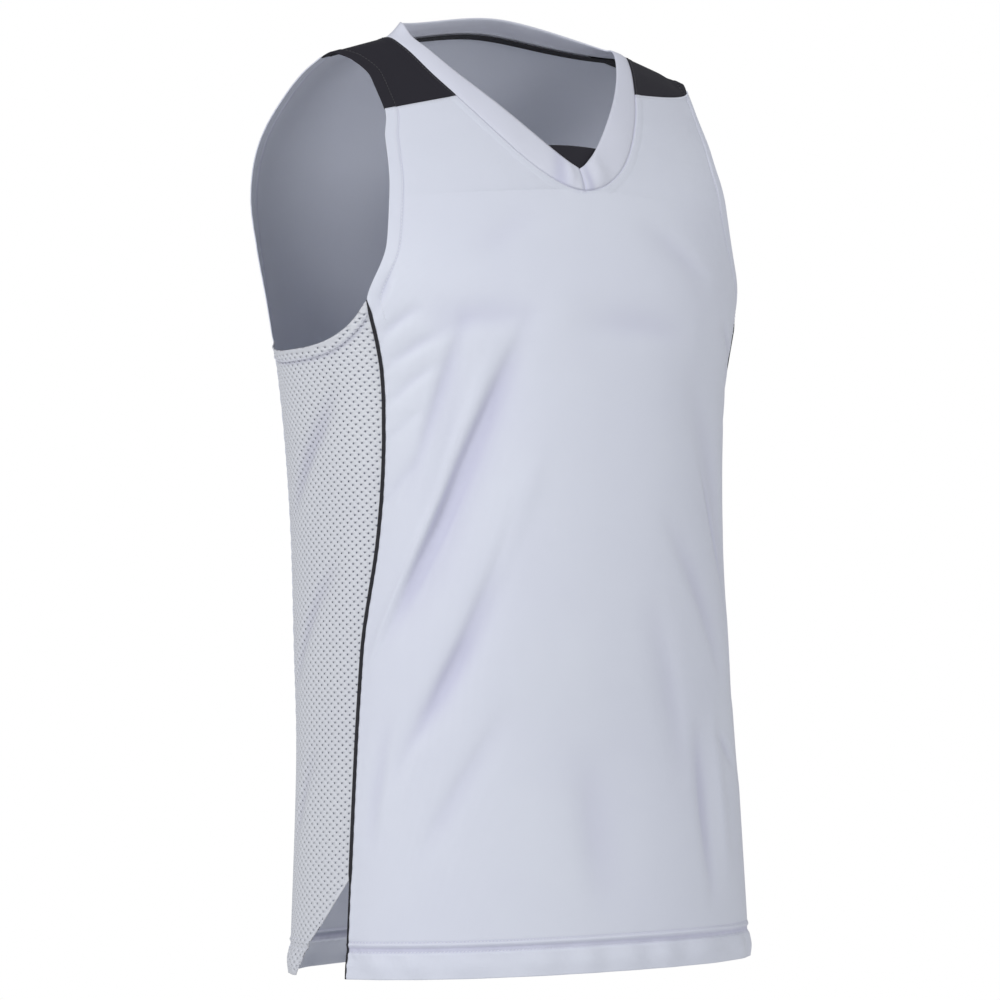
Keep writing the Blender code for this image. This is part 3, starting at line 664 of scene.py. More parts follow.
def hem_relief(up, around):
    """Lift of the fold, a groove at each row, a valley above the lower one and puckers between them.

    Puckers are sin(2 pi s / pitch + wander), with s the distance round the body.
    """
    fold = FOLD_LIFT * (1 - ease((up - HEM) / 0.0015)) + 0.0011 * bell(up - 0.010, 0.008)
    fold += 0.0006 * bell(up - HEM + 0.0022, 0.0016)
    groove = -0.0008 * bell(up - HEM, 0.0009) - 0.0010 * bell(up - HEM_LOW, 0.0010)
    valley = -0.0013 * bell(up - HEM_LOW - 0.0026, 0.0024)
    wander = 1.6 * np.sin(around / 0.031) + 2.1 * np.sin(around / 0.073)
    fine = 0.00032 * np.sin(around / 0.00155 + 2 * wander + up / 0.0018) * bell(up - HEM_LOW, 0.0045)
    broad = 0.00120 * np.sin(around / 0.0075 + wander + up / 0.016) * bell(up - 0.012, 0.012)
    return fold + groove + valley + fine + broad


def armhole_relief(inward):
    """Lift of the folded armhole edge and the groove of its stitches."""
    return FOLD_LIFT * (1 - ease((inward - ARM_BAND) / 0.0016)) - 0.0007 * bell(inward - ARM_BAND, 0.0010)


def seam_relief(inward, along):
    """A low roll of seam allowance beside a seam, and short puckers that fade away from it."""
    pucker = np.sin(along / 0.0019 + 1.7 * np.sin(along / 0.0134) + 1.1 * np.sin(along / 0.031))
    return 0.0005 * bell(inward - 0.0018, 0.0022) + 0.00030 * pucker * np.exp(-inward / 0.009)


def nearest(line, grid):
    """Distance from each grid point to the nearest point of a line, worked out row by row."""
    return np.stack([np.linalg.norm(row[:, None] - line, axis=-1).min(1) for row in grid])


def fold_painted_shade(depth, scale=0.0060):
    """Painted shade for a point that lies deep in a fold, 0 to 1, for the colour."""
    return ease(-depth / scale)


def stitch_groove_shade(distance, strength=0.75):
    """Painted shade in the groove of a row of stitches: a bell curve 1 mm wide about the row."""
    return strength * bell(distance, 0.00085)


def panel_painted_shade(angle, heights, crease, up, inward, above):
    """Painted shade of a panel: the deepest of its creases, its hem's valley and rows, and its armhole's row.
    """
    painted_shade = fold_painted_shade(crease + 0.5 * fold_depth(angle, heights))
    painted_shade = np.maximum(painted_shade, 0.85 * bell(up - HEM_LOW - 0.0026, 0.0024))
    painted_shade = np.maximum(painted_shade, stitch_groove_shade(up - HEM) + stitch_groove_shade(up - HEM_LOW))
    return np.maximum(painted_shade, above * stitch_groove_shade(inward - ARM_BAND))


print("hem", HEM * 1000, "mm, armhole fold", ARM_BAND * 1000, "mm")

# %% Front panel
HEM_HEIGHTS = -BODY_LENGTH + np.arange(0, 0.0345, 0.00080)
BODY_HEIGHTS = np.linspace(-BODY_LENGTH + 0.036, NECK_SEAM[1], 178)
COLUMNS = np.concatenate([np.linspace(0, 0.93, 80), np.linspace(0.93, 1, 16)[1:]])

v_low = level_of(NECK_SEAM[1])
V_STEPS = np.arange(1, 37)[:, None] / 36
low_levels = np.concatenate([level_of(HEM_HEIGHTS), level_of(BODY_HEIGHTS)])
closed_rows = len(low_levels)                           # rows below the point of the V


def front_levels(side):
    """Levels of the grid: flat rows, then rows that turn from the V's point to the yoke's front seam."""
    beside = v_low + (yoke_front(side, COLUMNS) - v_low) * V_STEPS ** (2 - COLUMNS)
    return np.concatenate([np.repeat(low_levels[:, None], len(COLUMNS), 1), beside])


def neck_line(side):
    """The neck seam in space, from the point of the V up to the yoke."""
    turns = np.concatenate([[v_low], front_levels(side)[closed_rows:, 0]])
    return over_shoulder(neck_width(NECK_SEAM, turns), turns) * (side, 1, 1)


neck_front = np.concatenate([neck_line(-1)[::-1], neck_line(1)])


def front_half(side):
    """One half of the front: angle = inner + (outer - inner) part, with the relief added along the normal."""
    levels = front_levels(side)
    heights = np.interp(levels, LEVELS, HEIGHTS)
    inner = angle_at(neck_width(NECK_SEAM, levels[:, 0]), levels[:, 0])
    inner[:closed_rows] = 0
    outer = edge_angle(side, heights[:, -1])
    opened = np.concatenate([np.zeros(closed_rows), V_STEPS[:, 0]])
    falls = 1 + 1.5 * (1 - opened)[:, None] ** 2
    angle = side * (inner[:, None] * (1 - COLUMNS) ** falls + outer[:, None] * COLUMNS)
    smooth_grid = point(angle, levels)
    smooth_grid = drawn_in(smooth_grid, ("last row", "last column"))
    smooth_grid[closed_rows:] = drawn_in(smooth_grid[closed_rows:], ("first column",))
    normals = outward(smooth_grid, side)
    across, up = lengths(smooth_grid, 1), lengths(smooth_grid, 0)
    inward = across[:, -1:] - across
    above = ease((heights - UNDERARM) / 0.008)
    crease = crease_depth(angle, heights) * ease((-0.12 - heights) / 0.05)
    relief = crease + hem_relief(up, angle * 0.19)
    relief += above * armhole_relief(inward) + (1 - above) * seam_relief(inward, up)
    relief += 0.0005 * bell(up[-1:] - up - 0.0018, 0.0022) * above
    from_neck = np.full(angle.shape, 1.0)
    near = heights[:, 0] > -0.20
    from_neck[near] = nearest(neck_front, smooth_grid[near])
    relief += 0.0004 * (1 - ease((from_neck - 0.0060) / 0.0020)) - 0.0005 * bell(from_neck, 0.0010)
    grid = smooth_grid + normals * relief[..., None]
    grid[:closed_rows, 0, 0] = 0
    painted_shade = panel_painted_shade(angle, heights, crease, up, inward, above)
    # painted shade along the groove of the neck seam
    painted_shade = np.maximum(painted_shade, 0.9 * bell(from_neck, 0.0012))
    uv = np.stack([side * across + angle[:, :1] * 0.12, up], -1)
    return grid, normals, across, up, from_neck, painted_shade, uv


def two_halves(halves, shared):
    """Vertices and faces of two half grids that share the first so many rows of their first column."""
    grids = [half[0] for half in halves]
    rows, columns = grids[0].shape[:2]
    first = np.arange(rows * columns).reshape(rows, columns)
    second = first + rows * columns
    second[:shared, 0] = first[:shared, 0]
    faces = np.concatenate([quads(first), quads(second)[:, ::-1]])
    used, packed = np.unique(faces, return_inverse=True)
    every = [np.concatenate([half[k].reshape(rows * columns, -1) for half in halves])[used]
             for k in (0, -2, -1)]
    return every[0], packed.reshape(-1, 4), every[1], every[2]


front_halves = [front_half(1), front_half(-1)]
spots, faces, painted_shade, uv = two_halves(front_halves, closed_rows)
front_panel = piece_from("front_cloth", spots, faces, white_knit, uv, {"painted_shade": painted_shade})
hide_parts("front_panel")
print("front:", len(faces), "faces,", round(sheet_area(front_halves[0][0]) * 2, 3), "square metres")

# %% [markdown]
# ## The back panel
#
# The back is cut like the front, but its top follows the shallow curve under the collar and then the
# back seam of the yokes. The columns spread from the middle of the back, and near the top their places
# move across so that they end on that edge.

# %% Back panel
NECK_SHARE = 8 / 14     # of the columns, those that end under the collar
RISE = np.linspace(0, 1, 79)[1:]


def back_top(side, part):
    """Half width and level of the top edge: x = a sin t under the collar, then straight along the yoke."""
    deep, seam = RIDGE - level_of(NECK_SEAM[2]), RIDGE - level_of(YOKE_BACK)
    turn = np.arccos(seam / deep) * np.clip(part / NECK_SHARE, 0, 1)
    beyond = np.clip((part - NECK_SHARE) / (1 - NECK_SHARE), 0, 1)
    start = NECK_SEAM[0] * np.sin(turn)
    x = start + (armhole(side, YOKE_BACK, True) - NECK_SEAM[0] * np.sin(np.arccos(seam / deep))) * beyond
    return x, np.where(part <= NECK_SHARE, RIDGE - deep * np.cos(turn), RIDGE - seam)


def back_half(side):
    """One half of the back: angle = 180 degrees - edge share, with the relief added along the normal."""
    low_heights = np.concatenate([HEM_HEIGHTS, np.linspace(-BODY_LENGTH + 0.036, ARM_BACK, 134)])
    low = level_of(low_heights)
    top_x, top_levels = back_top(side, COLUMNS)
    high = low[-1] + (top_levels[None] - low[-1]) * RISE[:, None]
    levels = np.concatenate([np.repeat(low[:, None], len(COLUMNS), 1), high])
    heights = np.interp(levels, LEVELS, HEIGHTS)
    edge = np.pi - edge_angle(side, heights, behind=True)
    top_angle = np.pi - angle_at(top_x, top_levels, behind=True)
    blend = np.concatenate([np.zeros(len(low)), RISE**2])[:, None]
    angle = side * (np.pi - edge * (COLUMNS * (1 - blend) + top_angle / edge[-1] * blend))
    smooth_grid = drawn_in(point(angle, levels), ("last row", "last column"))
    normals = outward(smooth_grid, -side)
    across, up = lengths(smooth_grid, 1), lengths(smooth_grid, 0)
    inward = across[:, -1:] - across
    above = ease((heights - ARM_BACK) / 0.008)
    crease = crease_depth(angle, heights) * ease((-0.16 - heights) / 0.05)
    relief = crease + hem_relief(up, angle * 0.19 + 0.4)
    relief += above * armhole_relief(inward) + (1 - above) * seam_relief(inward, up)
    down = up[-1:] - up
    relief += 0.0005 * bell(down - 0.0018, 0.0022) * above
    grid = smooth_grid + normals * relief[..., None]
    grid[:, 0, 0] = 0
    painted_shade = panel_painted_shade(angle, heights, crease, up, inward, above)
    uv = np.stack([side * across, up], -1)
    return grid, normals, across, up, down, painted_shade, uv


back_halves = [back_half(1), back_half(-1)]
spots, faces, painted_shade, uv = two_halves(back_halves, len(back_halves[0][0]))
back_panel = piece_from("back_cloth", spots, faces[:, ::-1], white_knit, uv, {"painted_shade": painted_shade})
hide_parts("back_panel")
print("back:", len(faces), "faces,", round(sheet_area(back_halves[0][0]) * 2, 3), "square metres")

# %% [markdown]
# ## The mesh side panels
#
# Pinhole mesh is knitted with real holes, here 2 mm wide on a lattice 8.6 mm across and 6.2 mm up, with
# one more hole in the middle of each oblong. A picture of dots would be flat, and would vanish in the
# finished shape, so each hole is cut in the surface. The cloth is divided like a brick wall into cells
# 8.6 mm wide and 3.1 mm high, each with a hole in its middle, and a ring of eight faces joins the hole to
# the cell's outline. The whole wall is laid out flat, by length along the cloth, and clamped to the
# panel's edges: a cell that crosses a seam is squeezed against it and loses its hole, as the seam closes
# it on a real panel.

# %% Pinhole lattice
PITCH = np.array((0.0043, 0.0031))      # half the distance between holes, across and up the cloth
HOLE = np.array((0.00105, 0.00090))     # half the width and height of a hole
MESH_BAND = 0.0090      # fold along the armhole


def side_front_angle(side, height):
    """Front edge of the side panel: the seam, then slanting back below the vent."""
    drop = np.clip((VENT_TOP - height) / (VENT_TOP + BODY_LENGTH), 0, 1)
    return front_seam(side, height) + np.radians(VENT_SLANT * drop)


def scoop(share):
    """Height of the panel's top edge: z = top - dip (1 - (1-s)^5) + rise s^6, s from front to back."""
    return UNDERARM - ARM_SCOOP * (1 - (1 - share) ** 5) + ARM_SCOOP_RISE * share**6


def side_angle(side, share, height):
    """Angle round the body, from the front edge of the panel at share 0 to the back seam at 1."""
    start = side_front_angle(side, height)
    return start + (np.radians(smooth(SIDE_SEAMS, 2, height)) - start) * share


def side_spot(share, height, side, relief=True):
    """A point of the side panel, with its outward direction."""
    def plain(s, h):
        return point(side * side_angle(side, s, h), level_of(h))
    step = 1e-3
    around = plain(share + step, height) - plain(share - step, height)
    up = plain(share, height + step) - plain(share, height - step)
    normal = np.cross(around, up) * side
    normal /= np.linalg.norm(normal, axis=-1, keepdims=True)
    if not relief:
        return plain(share, height), normal
    angle = side * side_angle(side, share, height)
    below = scoop(share) - height
    lift = crease_depth(angle, height) + hem_relief(height + BODY_LENGTH, angle * 0.19)
    band = 0.0013 * (1 - ease((below - MESH_BAND) / 0.0016)) + 0.0007 * bell(below, 0.0022)
    lift += band * ease(0.25 + share / 0.05) * (1 - ease((share - 0.90) / 0.09))
    return plain(share, height) + normal * lift[..., None], normal


TABLE_HEIGHTS = np.linspace(-BODY_LENGTH, UNDERARM, 141)
TABLE_LENGTHS = np.arange(0, 0.190, 0.002)


def share_table(side):
    """Share of the panel reached at each length from the back seam, for each height, and the widths."""
    shares = np.linspace(0, 1, 91)
    spots, _ = side_spot(shares[None], TABLE_HEIGHTS[:, None], side, relief=False)
    from_back = lengths(spots[:, ::-1], 1)
    table = [np.interp(TABLE_LENGTHS, row, 1 - shares) for row in from_back]
    return np.array(table), from_back[:, -1]


def looked_up(table, height, length):
    """The share at a height and a length, between the four nearest entries of the table."""
    row = np.interp(height, TABLE_HEIGHTS, np.arange(len(TABLE_HEIGHTS)))
    column = np.interp(length, TABLE_LENGTHS, np.arange(len(TABLE_LENGTHS)))
    i, j = np.minimum(row.astype(int), table.shape[0] - 2), np.minimum(column.astype(int), table.shape[1] - 2)
    a, b = row - i, column - j
    return ((table[i, j] * (1 - a) + table[i + 1, j] * a) * (1 - b)
            + (table[i, j + 1] * (1 - a) + table[i + 1, j + 1] * a) * b)


# the eight places round a cell in half pitches, and the directions of the hole's points
AROUND = np.array(((-1, -0.5), (0, -0.5), (1, -0.5), (1, 0), (1, 0.5), (0, 0.5), (-1, 0.5), (-1, 0)))
TURNS = np.radians((-135, -90, -45, 0, 45, 90, 135, 180))


def mesh_cloth(side):
    """Vertices, faces, UV and painted shade values of one side panel, and how many holes it has."""
    table, widths = share_table(side)
    rows = int(round((UNDERARM + BODY_LENGTH) / PITCH[1])) + 1
    columns = int(widths.max() / PITCH[0]) + 2
    i, j = np.meshgrid(np.arange(columns), np.arange(rows))
    keep = (i + j) % 2 == 1
    middle = np.stack([i[keep], j[keep] + 0.5], -1) * PITCH
    outline = middle[:, None] + AROUND * PITCH
    ring = middle[:, None] + HOLE * np.stack([np.cos(TURNS), np.sin(TURNS)], -1)
    flat = np.concatenate([outline, ring], 1)
    length, height = flat[..., 0], flat[..., 1] - BODY_LENGTH
    share = looked_up(table, height, np.maximum(length, 0))
    height = np.minimum(height, scoop(share))
    spots, normals = side_spot(share, height, side)
    centre_share = looked_up(table, middle[:, 1] - BODY_LENGTH, middle[:, 0])
    room = np.interp(middle[:, 1] - BODY_LENGTH, TABLE_HEIGHTS, widths) - middle[:, 0]
    is_open = (middle[:, 0] > 0.0022) & (room > 0.0022) & (middle[:, 1] > 0.0025)
    is_open &= scoop(centre_share) + BODY_LENGTH - middle[:, 1] > 0.0030
    spots[is_open, 8:] -= normals[is_open, 8:] * 0.00025
    k = np.arange(8)
    band = np.stack([k, (k + 1) % 8, (k + 1) % 8 + 8, k + 8], -1)
    lid = np.array(((8, 9, 10, 11), (8, 11, 12, 15), (12, 13, 14, 15)))
    base = 16 * np.arange(len(middle))[:, None, None]
    faces = np.concatenate([(base + band).reshape(-1, 4), (base[~is_open] + lid).reshape(-1, 4)])
    spots = spots.reshape(-1, 3)
    diagonals = np.cross(spots[faces[:, 2]] - spots[faces[:, 0]], spots[faces[:, 3]] - spots[faces[:, 1]])
    faces = faces[np.linalg.norm(diagonals, axis=-1) > 4e-9]
    angle = side * side_angle(side, share, height)
    # Painted shade: darker colour deep in creases and folds, and a painted shadow line just under the folded
    # armhole band.
    painted_shade = fold_painted_shade(crease_depth(angle, height) + 0.5 * fold_depth(angle, height), 0.005)
    painted_shade = np.maximum(painted_shade, 1.0 * bell(scoop(share) - height - MESH_BAND - 0.0012, 0.0019))
    uv = np.stack([length, height], -1)
    return spots, faces, uv, painted_shade, int(is_open.sum())


def joined_up(piece, distance=0.00002):
    """Makes neighbouring cells share their corners, so the cloth is one surface."""
    made = bmesh.new()
    made.from_mesh(piece.data)
    bmesh.ops.remove_doubles(made, verts=made.verts, dist=distance)
    bmesh.ops.dissolve_degenerate(made, edges=made.edges, dist=0.00001)
    made.to_mesh(piece.data)
    made.free()


for side, word in ((-1, "right"), (1, "left")):
    spots, faces, uv, painted_shade, holes = mesh_cloth(side)
    panel = piece_from("side_mesh_" + word, spots, faces, white_mesh, uv, {"painted_shade": painted_shade}, flip=side > 0)
    joined_up(panel)
    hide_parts("side_panel_" + word)
    print(panel.name, holes, "holes,", len(panel.data.polygons), "faces")

# %% [markdown]
# ## The shoulder yokes
#
# A black yoke lies over each shoulder between the neck seam and the armhole. Its grid runs over the
# ridge of the shoulder: rows are steps from its front seam over the top to its back seam, and columns
# run outwards to the armhole, where the edge is folded in like the rest of the armhole. On the flatter
# left shoulder the front seam slants, high at the armhole and low at the neck.

# %% Yokes
YOKE_COLUMNS = np.concatenate([np.linspace(0, 0.80, 36), np.linspace(0.80, 1, 21)[1:]])
YOKE_STEPS = np.linspace(0, 1, 71)[:, None]


def yoke_turns(side):
    """Turns over the shoulder: from the front seam to the back seam, for each column."""
    start, end = yoke_front(side, YOKE_COLUMNS), 2 * RIDGE - level_of(YOKE_BACK)
    return start + (end - start) * YOKE_STEPS


def armhole_width(side, turn):
    """Half width of the armhole edge over the shoulder."""
    height = np.interp(np.where(turn > RIDGE, 2 * RIDGE - turn, turn), LEVELS, HEIGHTS)
    return np.where(turn > RIDGE, armhole(side, height, True), armhole(side, height))


def yoke(side):
    """One yoke: x = inner + (outer - inner) share, on the strip over the shoulder."""
    turn = yoke_turns(side)
    inner, outer = neck_width(NECK_SEAM, turn[:, 0]), armhole_width(side, turn[:, -1])
    start = angle_at(inner[0], turn[0, 0]) * (1 - YOKE_COLUMNS)
    start = start + angle_at(outer[0], turn[0, -1]) * YOKE_COLUMNS
    row = section(turn[0])
    front_x = row[:, 1] * np.sin(start) ** (2 / row[:, 5])
    front_share = (front_x - inner[0]) / (outer[0] - inner[0])
    share = front_share * (1 - YOKE_STEPS) + YOKE_COLUMNS * YOKE_STEPS
    x = inner[:, None] + (outer - inner)[:, None] * share
    grid = drawn_in(over_shoulder(x, turn) * (side, 1, 1), ("first row", "last row", "first column"))
    normals = outward(grid, side)
    across, up = lengths(grid, 1), lengths(grid, 0)
    inward = across[:, -1:] - across
    fold = -0.0010 * bell(inward - 0.020 - 0.10 * (up - 0.03), 0.006) * bell(up - 0.035, 0.022)
    relief = armhole_relief(inward) - 0.0004 * bell(up, 0.0015) - 0.0004 * bell(up[-1:] - up, 0.0015)
    relief += 0.0004 * (1 - ease((across - 0.006) / 0.002)) + fold * (1 if side > 0 else 0.5)
    return grid + normals * relief[..., None], normals, across, up, np.stack([across, up], -1)


yokes = {}
for side, word in ((-1, "right"), (1, "left")):
    grid, normals, across, up, uv = yoke(side)
    index = np.arange(grid.shape[0] * grid.shape[1]).reshape(grid.shape[:2])
    cloth = piece_from("yoke_" + word, grid, quads(index), black_knit, uv, {"painted_shade": across * 0},
                       flip=side < 0)
    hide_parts("shoulder_yoke_" + word)
    yokes[word] = (cloth, grid, normals, across, up)
    print(cloth.name, round(sheet_area(grid) * 1e4, 1), "square centimetres")

# %% [markdown]
# ## The collar
#
# The collar is a straight strip, folded double lengthways and sewn round the neck, with its two ends
# sewn into a mitre at the point of the V. The grid is a closed ring: stations go once round the neck,
# from the mitre over one shoulder, behind the neck and back, and rows go from the seam to the folded
# free edge, with the stations close together at the mitre. The mitre pulls a groove into the doubled
# cloth, and the cloth beside it is a little full, so it stands up outwards in soft lumps. The band stands
# up at the top of the right shoulder and lies nearly flat on the left one.

# %% Collar band
COLLAR_WALL = 0.0013
COLLAR_ROWS = np.linspace(0, 1, 13)[:, None]


def length_shares(curve, turns):
    """Share of a neck curve's own length reached at each turn."""
    spots = over_shoulder(neck_width(curve, turns), turns)
    long = np.concatenate([[0], np.cumsum(np.linalg.norm(np.diff(spots, axis=0), axis=1))])
    return long / long[-1]


def collar_stations(side):
    """Turns along the seam of the collar and their partners, by share of length, on its free edge."""
    back_turns = 2 * RIDGE - back_top(side, np.linspace(NECK_SHARE, 0, 61))[1]
    ahead = v_low + (yoke_front(side, 0.0) - v_low) * np.linspace(0, 1, 67)[:-1] ** 2
    over = np.linspace(yoke_front(side, 0.0), 2 * RIDGE - level_of(YOKE_BACK), 38)[:-1]
    seam = np.concatenate([ahead, over, back_turns])
    low, high = level_of(NECK_EDGE[1]), 2 * RIDGE - level_of(NECK_EDGE[2])
    fine = low + (high - low) * np.linspace(0, 1, 801) ** 1.5
    return seam, np.interp(length_shares(NECK_SEAM, seam), length_shares(NECK_EDGE, fine), fine)


def collar_half(side):
    """Half of the collar: each station is a straight line from the seam to the edge."""
    seam, edge = collar_stations(side)
    x = neck_width(NECK_SEAM, seam) * (1 - COLLAR_ROWS) + neck_width(NECK_EDGE, edge) * COLLAR_ROWS
    turn = seam * (1 - COLLAR_ROWS) + edge * COLLAR_ROWS
    grid = over_shoulder(x, turn)
    lift = COLLAR_LIFT * (1 - (LEFT_LOWER if side > 0 else 0) * (x / NECK_EDGE[0]) ** 2)
    grid[..., 2] += lift * COLLAR_ROWS**2 * np.exp(-(((turn - RIDGE) / COLLAR_STAND) ** 2))
    grid = drawn_in(grid, ("first row",))
    grid[:, 0, 0] = 0
    grid[:, -1, 0] = 0
    return grid * (side, 1, 1)


half = collar_half(1)
ring_grid = np.concatenate([half, collar_half(-1)[:, -2:0:-1]], axis=1)
padded_ring = np.concatenate([ring_grid[:, -1:], ring_grid, ring_grid[:, :1]], axis=1)
ring_normals = outward(padded_ring)[:, 1:-1]
station = lengths(ring_grid[6:7], 1)[0]
whole_way = station[-1] + np.linalg.norm(ring_grid[6, 0] - ring_grid[6, -1])
from_mitre = np.minimum(station, whole_way - station)
on_left = station < whole_way / 2
lumps = np.where(
    on_left,
    0.0017 * bell(from_mitre - 0.021, 0.009) - 0.0004 * bell(from_mitre - 0.0065, 0.004),
    0.0016 * bell(from_mitre - 0.012, 0.0045) - 0.0005 * bell(from_mitre - 0.023, 0.0075),
)
tucks = 0.0004 * (1 + np.sin(from_mitre / 0.0026)) * bell(from_mitre - 0.007, 0.008)
roll = 0.0008 * (1 - (2 * COLLAR_ROWS - 1) ** 2) - 0.0003 * bell(COLLAR_ROWS, 0.08)
wander = 0.0003 * np.sin(station / 0.013 + 1.9 * np.sin(station / 0.047))
relief = roll + (lumps + wander) * np.sin(np.pi * COLLAR_ROWS) ** 0.7
relief += tucks * np.clip(1.2 - COLLAR_ROWS, 0, 1) - 0.0010 * bell(from_mitre, 0.0011)
collar_grid = ring_grid + ring_normals * relief[..., None]
rows, stations = collar_grid.shape[:2]
ring_index = np.arange(rows * stations).reshape(rows, stations)
ring_index = np.concatenate([ring_index, ring_index[:, :1]], axis=1)
# Painted shade in the dips beside the mitre and in the mitre's groove, weaker towards the free edge.
collar_dip_shade = np.where(on_left, bell(from_mitre - 0.0065, 0.004), bell(from_mitre - 0.023, 0.0075))
collar_dip_shade = np.maximum(0.7 * collar_dip_shade, 0.8 * bell(from_mitre - 0.0016, 0.0009))
collar_painted_shade = np.broadcast_to(collar_dip_shade, relief.shape) * (1 - 0.4 * COLLAR_ROWS)
collar_uv = np.stack([np.broadcast_to(station, relief.shape), lengths(ring_grid, 0)], -1)
collar = piece_from("collar", collar_grid, quads(ring_index), white_rib, collar_uv,
                    {"painted_shade": collar_painted_shade}, wall=COLLAR_WALL)
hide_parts("collar_band")
band_width = float(lengths(half, 0)[-1].mean())
print("collar", round(whole_way, 3), "m round,", round(band_width * 1000, 1), "mm wide on average")

# %% [markdown]
# ## Behind the collar
#
# A black piece backs the point of the V, so no skin shows below the collar, and a woven tape covers the
# seam behind the neck, where a rough edge would rub. Both lie against the inside of the cloth.

# %% Neck insert and tape
INSERT_LAY, TAPE_LAY = 0.0027, 0.0024
INSERT_BOTTOM, INSERT_TOP, INSERT_SHARE = -0.134, -0.1045, 0.66
TAPE_WIDTH, TAPE_START, TAPE_LEVELS = 0.006, 14.0, 0.12


def laid_inside(x, turn, lay):
    """A grid on the strip over the shoulders, moved inwards, made whole by its mirror image."""
    x, turn = np.broadcast_arrays(x, turn)
    step = 2e-3
    across = over_shoulder(x + step, turn) - over_shoulder(x - step, turn)
    up = over_shoulder(x, turn + step) - over_shoulder(x, turn - step)
    facing = np.cross(across, up)
    half = over_shoulder(x, turn) - facing / np.linalg.norm(facing, axis=-1, keepdims=True) * lay
    half[:, 0, 0] = 0
    return np.concatenate([(half * (-1, 1, 1))[:, :0:-1], half], axis=1)


insert_turn = level_of(np.linspace(INSERT_BOTTOM, INSERT_TOP, 22))[:, None]
insert_x = neck_width(NECK_SEAM, insert_turn) * INSERT_SHARE * np.linspace(0, 1, 25)
insert_grid = laid_inside(insert_x, insert_turn, INSERT_LAY)
sweep = np.radians(np.linspace(TAPE_START, 90, 61))[::-1]
down = np.linspace(0, 1, 7)[:, None]
tape_x = (NECK_SEAM[0] + TAPE_WIDTH * down) * np.cos(sweep)
tape_x[:, 0] = 0
tape_turn = RIDGE + (RIDGE - level_of(NECK_SEAM[2]) + TAPE_LEVELS * down) * np.sin(sweep)
tape_grid = laid_inside(tape_x, tape_turn, TAPE_LAY)
for name, grid, cloth, finish, stands_for, wall in (
    ("neck_backing", insert_grid, black_knit, "black_knit", "neck_insert", 0.0010),
    ("neck_binding", tape_grid, black_tape, "black_tape", "neck_tape", 0.0012),
):
    index = np.arange(grid.shape[0] * grid.shape[1]).reshape(grid.shape[:2])
    uv = np.stack([lengths(grid, 1), lengths(grid, 0)], -1)
    piece_from(name, grid, quads(index), cloth, uv, {"painted_shade": uv[..., 0] * 0}, wall=wall)
    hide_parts(stands_for)
    print(name, round(sheet_area(grid) * 1e4, 1), "square centimetres")

# %% [markdown]
# ## Piping
#
# Piping is a narrow bias strip folded over a thin cord and caught in the seam, so that only its round
# edge shows. It is a tube carried along the side seam: a flattened circle at each step, which slims
# below the top of the vent, where it only binds the edge of the front panel.

# %% Piping
PIPE_WIDE, PIPE_HIGH = 0.0016, 0.0012


def piping(word, side):
    """Tube round a path: centre + wide cos t beside + high sin t outward."""
    heights = np.linspace(-BODY_LENGTH, UNDERARM, 300)
    step = 1e-3
    angle = side * front_seam(side, heights)
    level = level_of(heights)
    path = point(angle, level)
    normal = np.cross(point(angle + step, level) - point(angle - step, level),
                      point(angle, level + 0.02) - point(angle, level - 0.02))
    normal /= np.linalg.norm(normal, axis=-1, keepdims=True)
    slim = 1 - 0.42 * ease((VENT_TOP + 0.004 - heights) / 0.010)
    slim *= 0.30 + 0.70 * ease((UNDERARM - heights + 0.002) / 0.016)
    lift = crease_depth(angle, heights) + hem_relief(heights + BODY_LENGTH, angle * 0.19) * 0.5
    path = path + normal * (lift + CLOTH / 2 + PIPE_HIGH * slim * 0.8)[:, None]
    ahead = np.gradient(path, axis=0)
    ahead /= np.linalg.norm(ahead, axis=-1, keepdims=True)
    beside = np.cross(normal, ahead)
    turn = np.linspace(0, 2 * np.pi, 15)[:-1, None]
    around = beside[:, None] * np.cos(turn) * PIPE_WIDE + normal[:, None] * np.sin(turn) * PIPE_HIGH
    tube = path[:, None] + around * slim[:, None, None]
    count = len(heights)
    ring = np.arange(count * 14).reshape(count, 14)
    sides = quads(np.concatenate([ring, ring[:, :1]], 1))
    ends = np.array([[k, k + 1, 12 - k, 13 - k] for k in range(6)])
    faces = np.concatenate([sides, ends[:, ::-1] + 0, ends + (count - 1) * 14])
    travel = lengths(path, 0)
    uv = np.stack(np.broadcast_arrays(np.arange(14) * 0.0007, travel[:, None]), -1)
    cord = piece_from("piping_cord_" + word, tube.reshape(-1, 3), faces, black_tape, uv,
                      {"painted_shade": uv[..., 0] * 0}, wall=0)
    made = bmesh.new()
    made.from_mesh(cord.data)
    bmesh.ops.recalc_face_normals(made, faces=made.faces)
    made.to_mesh(cord.data)
    made.free()
    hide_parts("piping_" + word)
    print(cord.name, round(float(travel[-1]), 3), "m long")


for side, word in ((-1, "right"), (1, "left")):
    piping(word, side)

# %% [markdown]
# ## Where the stitches run
#
# Two rows hold the hem, one holds each armhole's fold, and one lies along the collar and along the
# front and back seams of the yokes, on the side where the seam allowance is turned. Each line is read
# off the finished grid of its panel, at a set distance from the edge.

